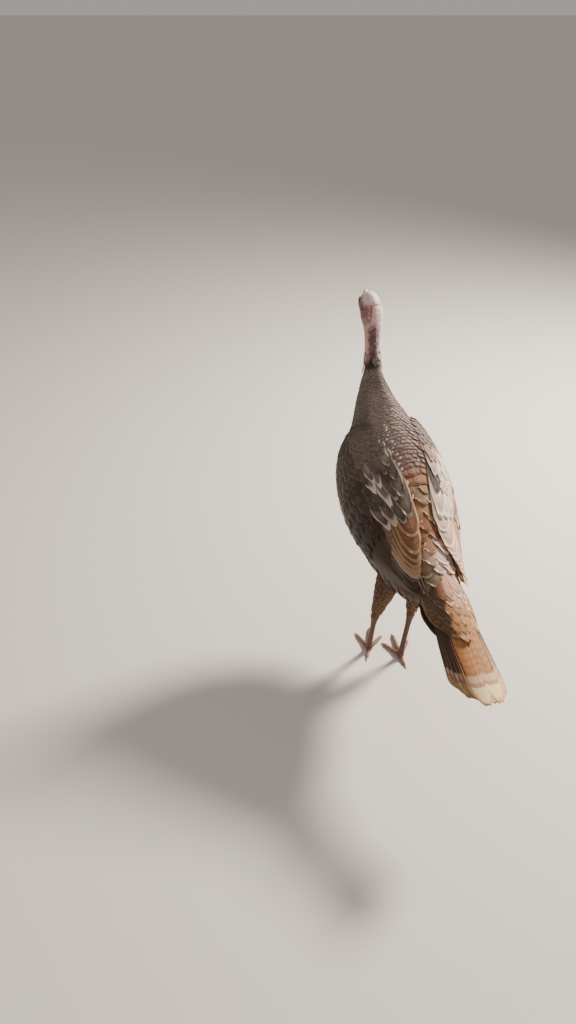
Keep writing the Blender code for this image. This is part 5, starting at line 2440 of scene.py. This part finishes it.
        # A small pale, spotted tuft where the nape's plumage starts.
        count = 26
        root, tip = self.strands(surface, count, (11.0, 11.45), (-40, 16), (0.0068, 0.0102), 0.2)
        look = wear(TUFT, count, chance, speckle=0.9)
        high = 0.0022 * chance.uniform(0.6, 1.4, count)
        batch = Batch(root, tip, 0.0052, -0.0003, high, look, barbs=30.0)
        piece.lay(surface, batch, VaneGrid(4, 4), VaneOutline())
        piece.build()

    def build(self) -> None:
        """Makes the head's pieces, apart from the bill."""
        self.skin()
        for flank in Flank:
            self.lid(flank)
            self.eyeball(flank)
        self.bristles()


@dataclass
class Bill(Assembly):
    """The two halves of her bill, with nostrils and a worn edge."""

    root: float = 0.2215
    tip: float = 0.2560
    voxel: float = 0.00042
    nostril: Pair = (0.2350, 0.7122)  # forward, height

    def half(self, name: str) -> None:
        """One half, smoothed, with its relief.

        Args:
            name: The CAD node.
        """
        mesh = remeshed(self.cad_shape([name]), self.voxel, 5)
        spots, normals = corners_of(mesh)
        forward = -(spots[:, 1] - ORIGIN[1])
        share = np.clip((forward - self.root) / (self.tip - self.root), 0, 1)
        lift = 0.00006 * lumps(spots * np.array([1.0, 0.25, 1.0]), 0.0012)
        if name == "bill_upper":
            # One slit on each side, with a raised rim.
            away = np.hypot((forward - self.nostril[0]) * 0.50, (spots[:, 2] - self.nostril[1]) * 1.3)
            flat = blend(0.5, 0.85, np.abs(normals[:, 0]))
            lift += -0.0014 * bell(away, 0.00080) * flat
            lift += 0.00040 * bell(away - 0.0017, 0.0006) * flat
        # The two halves meet, with no light between them.
        facing = normals[:, 2] * (1.0 if name == "bill_lower" else -1.0)
        lift += 0.0006 * blend(0.3, 0.8, facing)
        move_corners(mesh, spots + normals * lift[:, None])
        self.piece(f"{name}_horn", mesh, "bill", "bill", {"share": share}, (name,))

    def build(self) -> None:
        """Makes both halves."""
        for name in ("bill_upper", "bill_lower"):
            self.half(name)


# ---- Legs ----


@dataclass
class Leg(Assembly):
    """One shank and foot with their scutes, and the claws."""

    flank: Flank
    hock: Triple
    foot: Triple
    toe_out: float
    voxel: float = 0.00075
    shank_scute: float = 0.0046
    toe_scute: float = 0.0027
    # (name, degrees from straight ahead, length)
    toes: tuple[tuple[str, float, float], ...] = (
        ("inner", -31, 0.046),
        ("middle", 0, 0.062),
        ("outer", 32, 0.048),
        ("hind", 174, 0.025),
    )

    def skin(self) -> None:
        """Makes shank and foot as one scaly skin."""
        word = self.flank.word
        nodes = (f"shank_{word}", f"foot_{word}")
        mesh = remeshed(self.cad_shape(nodes), self.voxel, 3)
        spots, normals = corners_of(mesh)
        lift, groove = self.relief(spots, normals)
        spots = spots + normals * lift[:, None]
        spots[:, 2] = np.maximum(spots[:, 2], 0.0)
        move_corners(mesh, spots)
        self.piece(
            f"leg_skin_{word}", mesh, "leg_scales", "leg_scales", {"groove": groove}, nodes
        )

    def along_toes(self, spots: Array) -> list[tuple[Array, Array, float]]:
        """Where points lie beside each toe.

        Args:
            spots: The points.

        Returns:
            For each toe, how far out along it each point is, how far beside it, and its length.
        """
        found = []
        away = spots - np.array(place(*self.foot))
        for _, heading, length in self.toes:
            angle = math.radians(heading + self.toe_out) * self.flank.value
            way = np.array([math.sin(angle), -math.cos(angle), 0.0])
            run = away @ way
            found.append((run, np.linalg.norm((away - run[:, None] * way)[:, :2], axis=1), length))
        return found

    def relief(self, spots: Array, normals: Array) -> tuple[Array, Array]:
        """The scutes of shank and toes.

        Args:
            spots: The skin's points.
            normals: Their normals.

        Returns:
            How far each point is raised, and how deep in a groove it is, 0 to 1.
        """
        hock, foot = np.array(place(*self.hock)), np.array(place(*self.foot))
        axis = foot - hock
        length = np.linalg.norm(axis)
        axis /= length
        run = (spots - hock) @ axis
        ahead = square_to(axis, (0.0, -1.0, 0.0))
        aside = np.cross(axis, ahead)
        off = spots - hock - run[:, None] * axis
        turn = np.arctan2(off @ aside, off @ ahead)
        is_shank = blend(length - 0.004, length - 0.010, run)

        phase = run / self.shank_scute + 0.5 * (turn > 0)
        local = phase - np.floor(phase)
        edge = np.minimum(local, 1 - local) * self.shank_scute
        seam = np.abs(turn) * 0.006
        gap = np.maximum(bell(edge, 0.00042), bell(seam, 0.00040))
        small = beads(spots, 0.0021, 1.0)
        in_front = blend(1.75, 1.45, np.abs(turn))
        plate = 0.00024 * np.sin(np.pi * np.clip(local * 0.8 + 0.2, 0, 1)) - 0.00040 * gap
        back = 0.00030 * small - 0.00016
        shank_lift = plate * in_front + back * (1 - in_front)
        shank_gap = gap * in_front + blend(0.30, 0.05, small) * (1 - in_front)

        toe_lift = 0.00030 * small - 0.00012
        toe_gap = blend(0.28, 0.05, small) * 0.8
        best = np.full(len(spots), 1e9)
        for run_out, beside, _ in self.along_toes(spots):
            beside = beside + 1.0 * (run_out < 0.004)
            local = run_out / self.toe_scute - np.floor(run_out / self.toe_scute)
            edge = np.minimum(local, 1 - local) * self.toe_scute
            gap = bell(edge, 0.00036)
            top = blend(0.05, 0.45, normals[:, 2]) * (beside < 0.006)
            lift = 0.00022 * local - 0.00034 * gap
            nearest = (beside < best) & (run_out > 0.006)
            best = np.where(nearest, beside, best)
            shown = nearest & (top > 0)
            toe_lift = np.where(shown, lift * top + toe_lift * (1 - top), toe_lift)
            toe_gap = np.where(shown, gap * top + toe_gap * (1 - top), toe_gap)
        lift = shank_lift * is_shank + toe_lift * (1 - is_shank)
        groove = shank_gap * is_shank + toe_gap * (1 - is_shank)
        return lift, np.clip(groove, 0, 1)

    def claws(self) -> None:
        """Makes all four claws of the foot, rounded."""
        word = self.flank.word
        nodes = [f"claw_{word}_{toe}" for toe, _, _ in self.toes]
        shape = self.cad_shape(nodes)
        bmesh.ops.subdivide_edges(shape, edges=shape.edges, cuts=1, smooth=0.6, use_grid_fill=True)
        for _ in range(2):
            bmesh.ops.smooth_vert(
                shape, verts=shape.verts, factor=0.35, use_axis_x=True, use_axis_y=True,
                use_axis_z=True,
            )
        spots = np.array([vert.co[:] for vert in shape.verts])
        share = np.zeros(len(spots))
        for run, beside, length in self.along_toes(spots):
            share = np.where(beside < 0.007, np.clip((run - length) / 0.013, 0, 1), share)
        self.piece(f"claws_{word}", shape, "claw", "claw", {"share": share}, nodes)

    def build(self) -> None:
        """Makes the leg's pieces."""
        self.skin()
        self.claws()


# ---- Studio ----


class Lamp(NamedTuple):
    """One soft round lamp that points at her."""

    name: str
    spot: Triple
    size: float
    power: float  # watts
    colour: Triple


@dataclass(frozen=True)
class Studio:
    """A pale floor, soft light from behind and the right, and the camera."""

    camera_place: Triple = (0.5768, 1.0992, 1.2)
    heading: float = 16.0  # degrees that the view turns to her right of straight behind
    dip: float = 33.0  # degrees below the level
    lens: float = 28.125
    background: Triple = (0.88, 0.83, 0.78)
    background_strength: float = 0.45
    floor_size: float = 250.0
    aim: Triple = (0.0, 0.0, 0.38)  # where the lamps point
    lamps: tuple[Lamp, ...] = (
        Lamp("key", (-1.85, -0.80, 1.95), 0.6, 185.0, (1.0, 0.90, 0.78)),
        Lamp("fill", (0.4, 2.2, 2.4), 2.0, 10.0, (1.0, 0.97, 0.93)),
    )

    def camera(self) -> None:
        """Adds the camera, looking down at her from behind."""
        data = bpy.data.cameras.new("camera")
        data.lens, data.sensor_width, data.clip_end = self.lens, 36.0, 50.0
        camera = bpy.data.objects.new("camera", data)
        dip, turn = math.radians(self.dip), math.radians(self.heading)
        level = math.cos(dip)
        view = Vector((-math.sin(turn) * level, -math.cos(turn) * level, -math.sin(dip)))
        camera.location = self.camera_place
        camera.rotation_euler = view.to_track_quat("-Z", "Y").to_euler()
        bpy.context.scene.collection.objects.link(camera)
        bpy.context.scene.camera = camera

    def light(self, lamp: Lamp) -> None:
        """Adds one lamp.

        Args:
            lamp: The lamp.
        """
        data = bpy.data.lights.new(lamp.name, "AREA")
        data.shape, data.size, data.energy, data.color = "DISK", lamp.size, lamp.power, lamp.colour
        shade = bpy.data.objects.new(lamp.name, data)
        shade.location = lamp.spot
        view = Vector(self.aim) - Vector(lamp.spot)
        shade.rotation_euler = view.to_track_quat("-Z", "Y").to_euler()
        bpy.context.scene.collection.objects.link(shade)

    def build(self) -> None:
        """Sets the floor, the light and the camera."""
        floor = bmesh.new()
        bmesh.ops.create_grid(floor, x_segments=8, y_segments=8, size=self.floor_size)
        mesh = bpy.data.meshes.new("studio_floor")
        floor.to_mesh(mesh)
        floor.free()
        mesh.materials.append(FloorFinish().make())
        ground = bpy.data.objects.new("studio_floor", mesh)
        bpy.context.scene.collection.objects.link(ground)
        world = bpy.data.worlds.new("studio")
        world.use_nodes = True
        sky = world.node_tree.nodes["Background"]
        sky.inputs["Color"].default_value = (*self.background, 1.0)
        sky.inputs["Strength"].default_value = self.background_strength
        bpy.context.scene.world = world
        for lamp in self.lamps:
            self.light(lamp)
        self.camera()


# ---- The whole hen ----


class LegPlaces(NamedTuple):
    """Where one leg's joints are, as (forward, left, height), and where its foot points."""

    knee: Triple
    hock: Triple
    foot: Triple
    toe_out: float  # degrees outwards


LEGS = {
    Flank.LEFT: LegPlaces(
        (0.014, -0.006, 0.232), (0.010, 0.030, 0.113), (0.028, 0.031, 0.010), -22.0
    ),
    Flank.RIGHT: LegPlaces(
        (0.008, -0.062, 0.240), (-0.008, -0.042, 0.118), (-0.012, -0.026, 0.010), 8.0
    ),
}


def main() -> None:
    """Builds the hen and the studio."""
    logging.basicConfig(level=logging.INFO, format="%(name)s: %(message)s")
    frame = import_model()
    finishes = {
        "vanes": FeatherFinish(),
        "long_vanes": TailFinish(),
        "down": DownFinish(),
        "bare_skin": BareSkinFinish(),
        "eyelids": BareSkinFinish("eyelid_skin", 0.0),
        "eye": EyeFinish(place(*EYE)),
        "bill": HornFinish("bill_horn", srgb(176, 146, 128), srgb(214, 194, 166)),
        "claw": HornFinish("claw_horn", srgb(120, 92, 76), srgb(196, 172, 144), 0.4),
        "leg_scales": ScaleFinish(),
    }
    materials = {name: finish.make() for name, finish in finishes.items()}
    shop = Workshop(frame, np.random.default_rng(SEED), materials)

    markings = Markings()
    BodySkin(shop, markings).build()
    BodyPlumage(shop, markings, [WingShape(flank.value) for flank in Flank]).build()
    Wing(shop, Flank.LEFT, LEFT_WING).build()
    Wing(shop, Flank.RIGHT, RIGHT_WING).build()
    Tail(shop).build()
    for flank, leg in LEGS.items():
        ThighPlumage(shop, flank, leg.knee, leg.hock).build()
        Leg(shop, flank, leg.hock, leg.foot, leg.toe_out).build()
    Head(shop).build()
    Bill(shop).build()
    Studio().build()


if __name__ == "__main__":
    main()
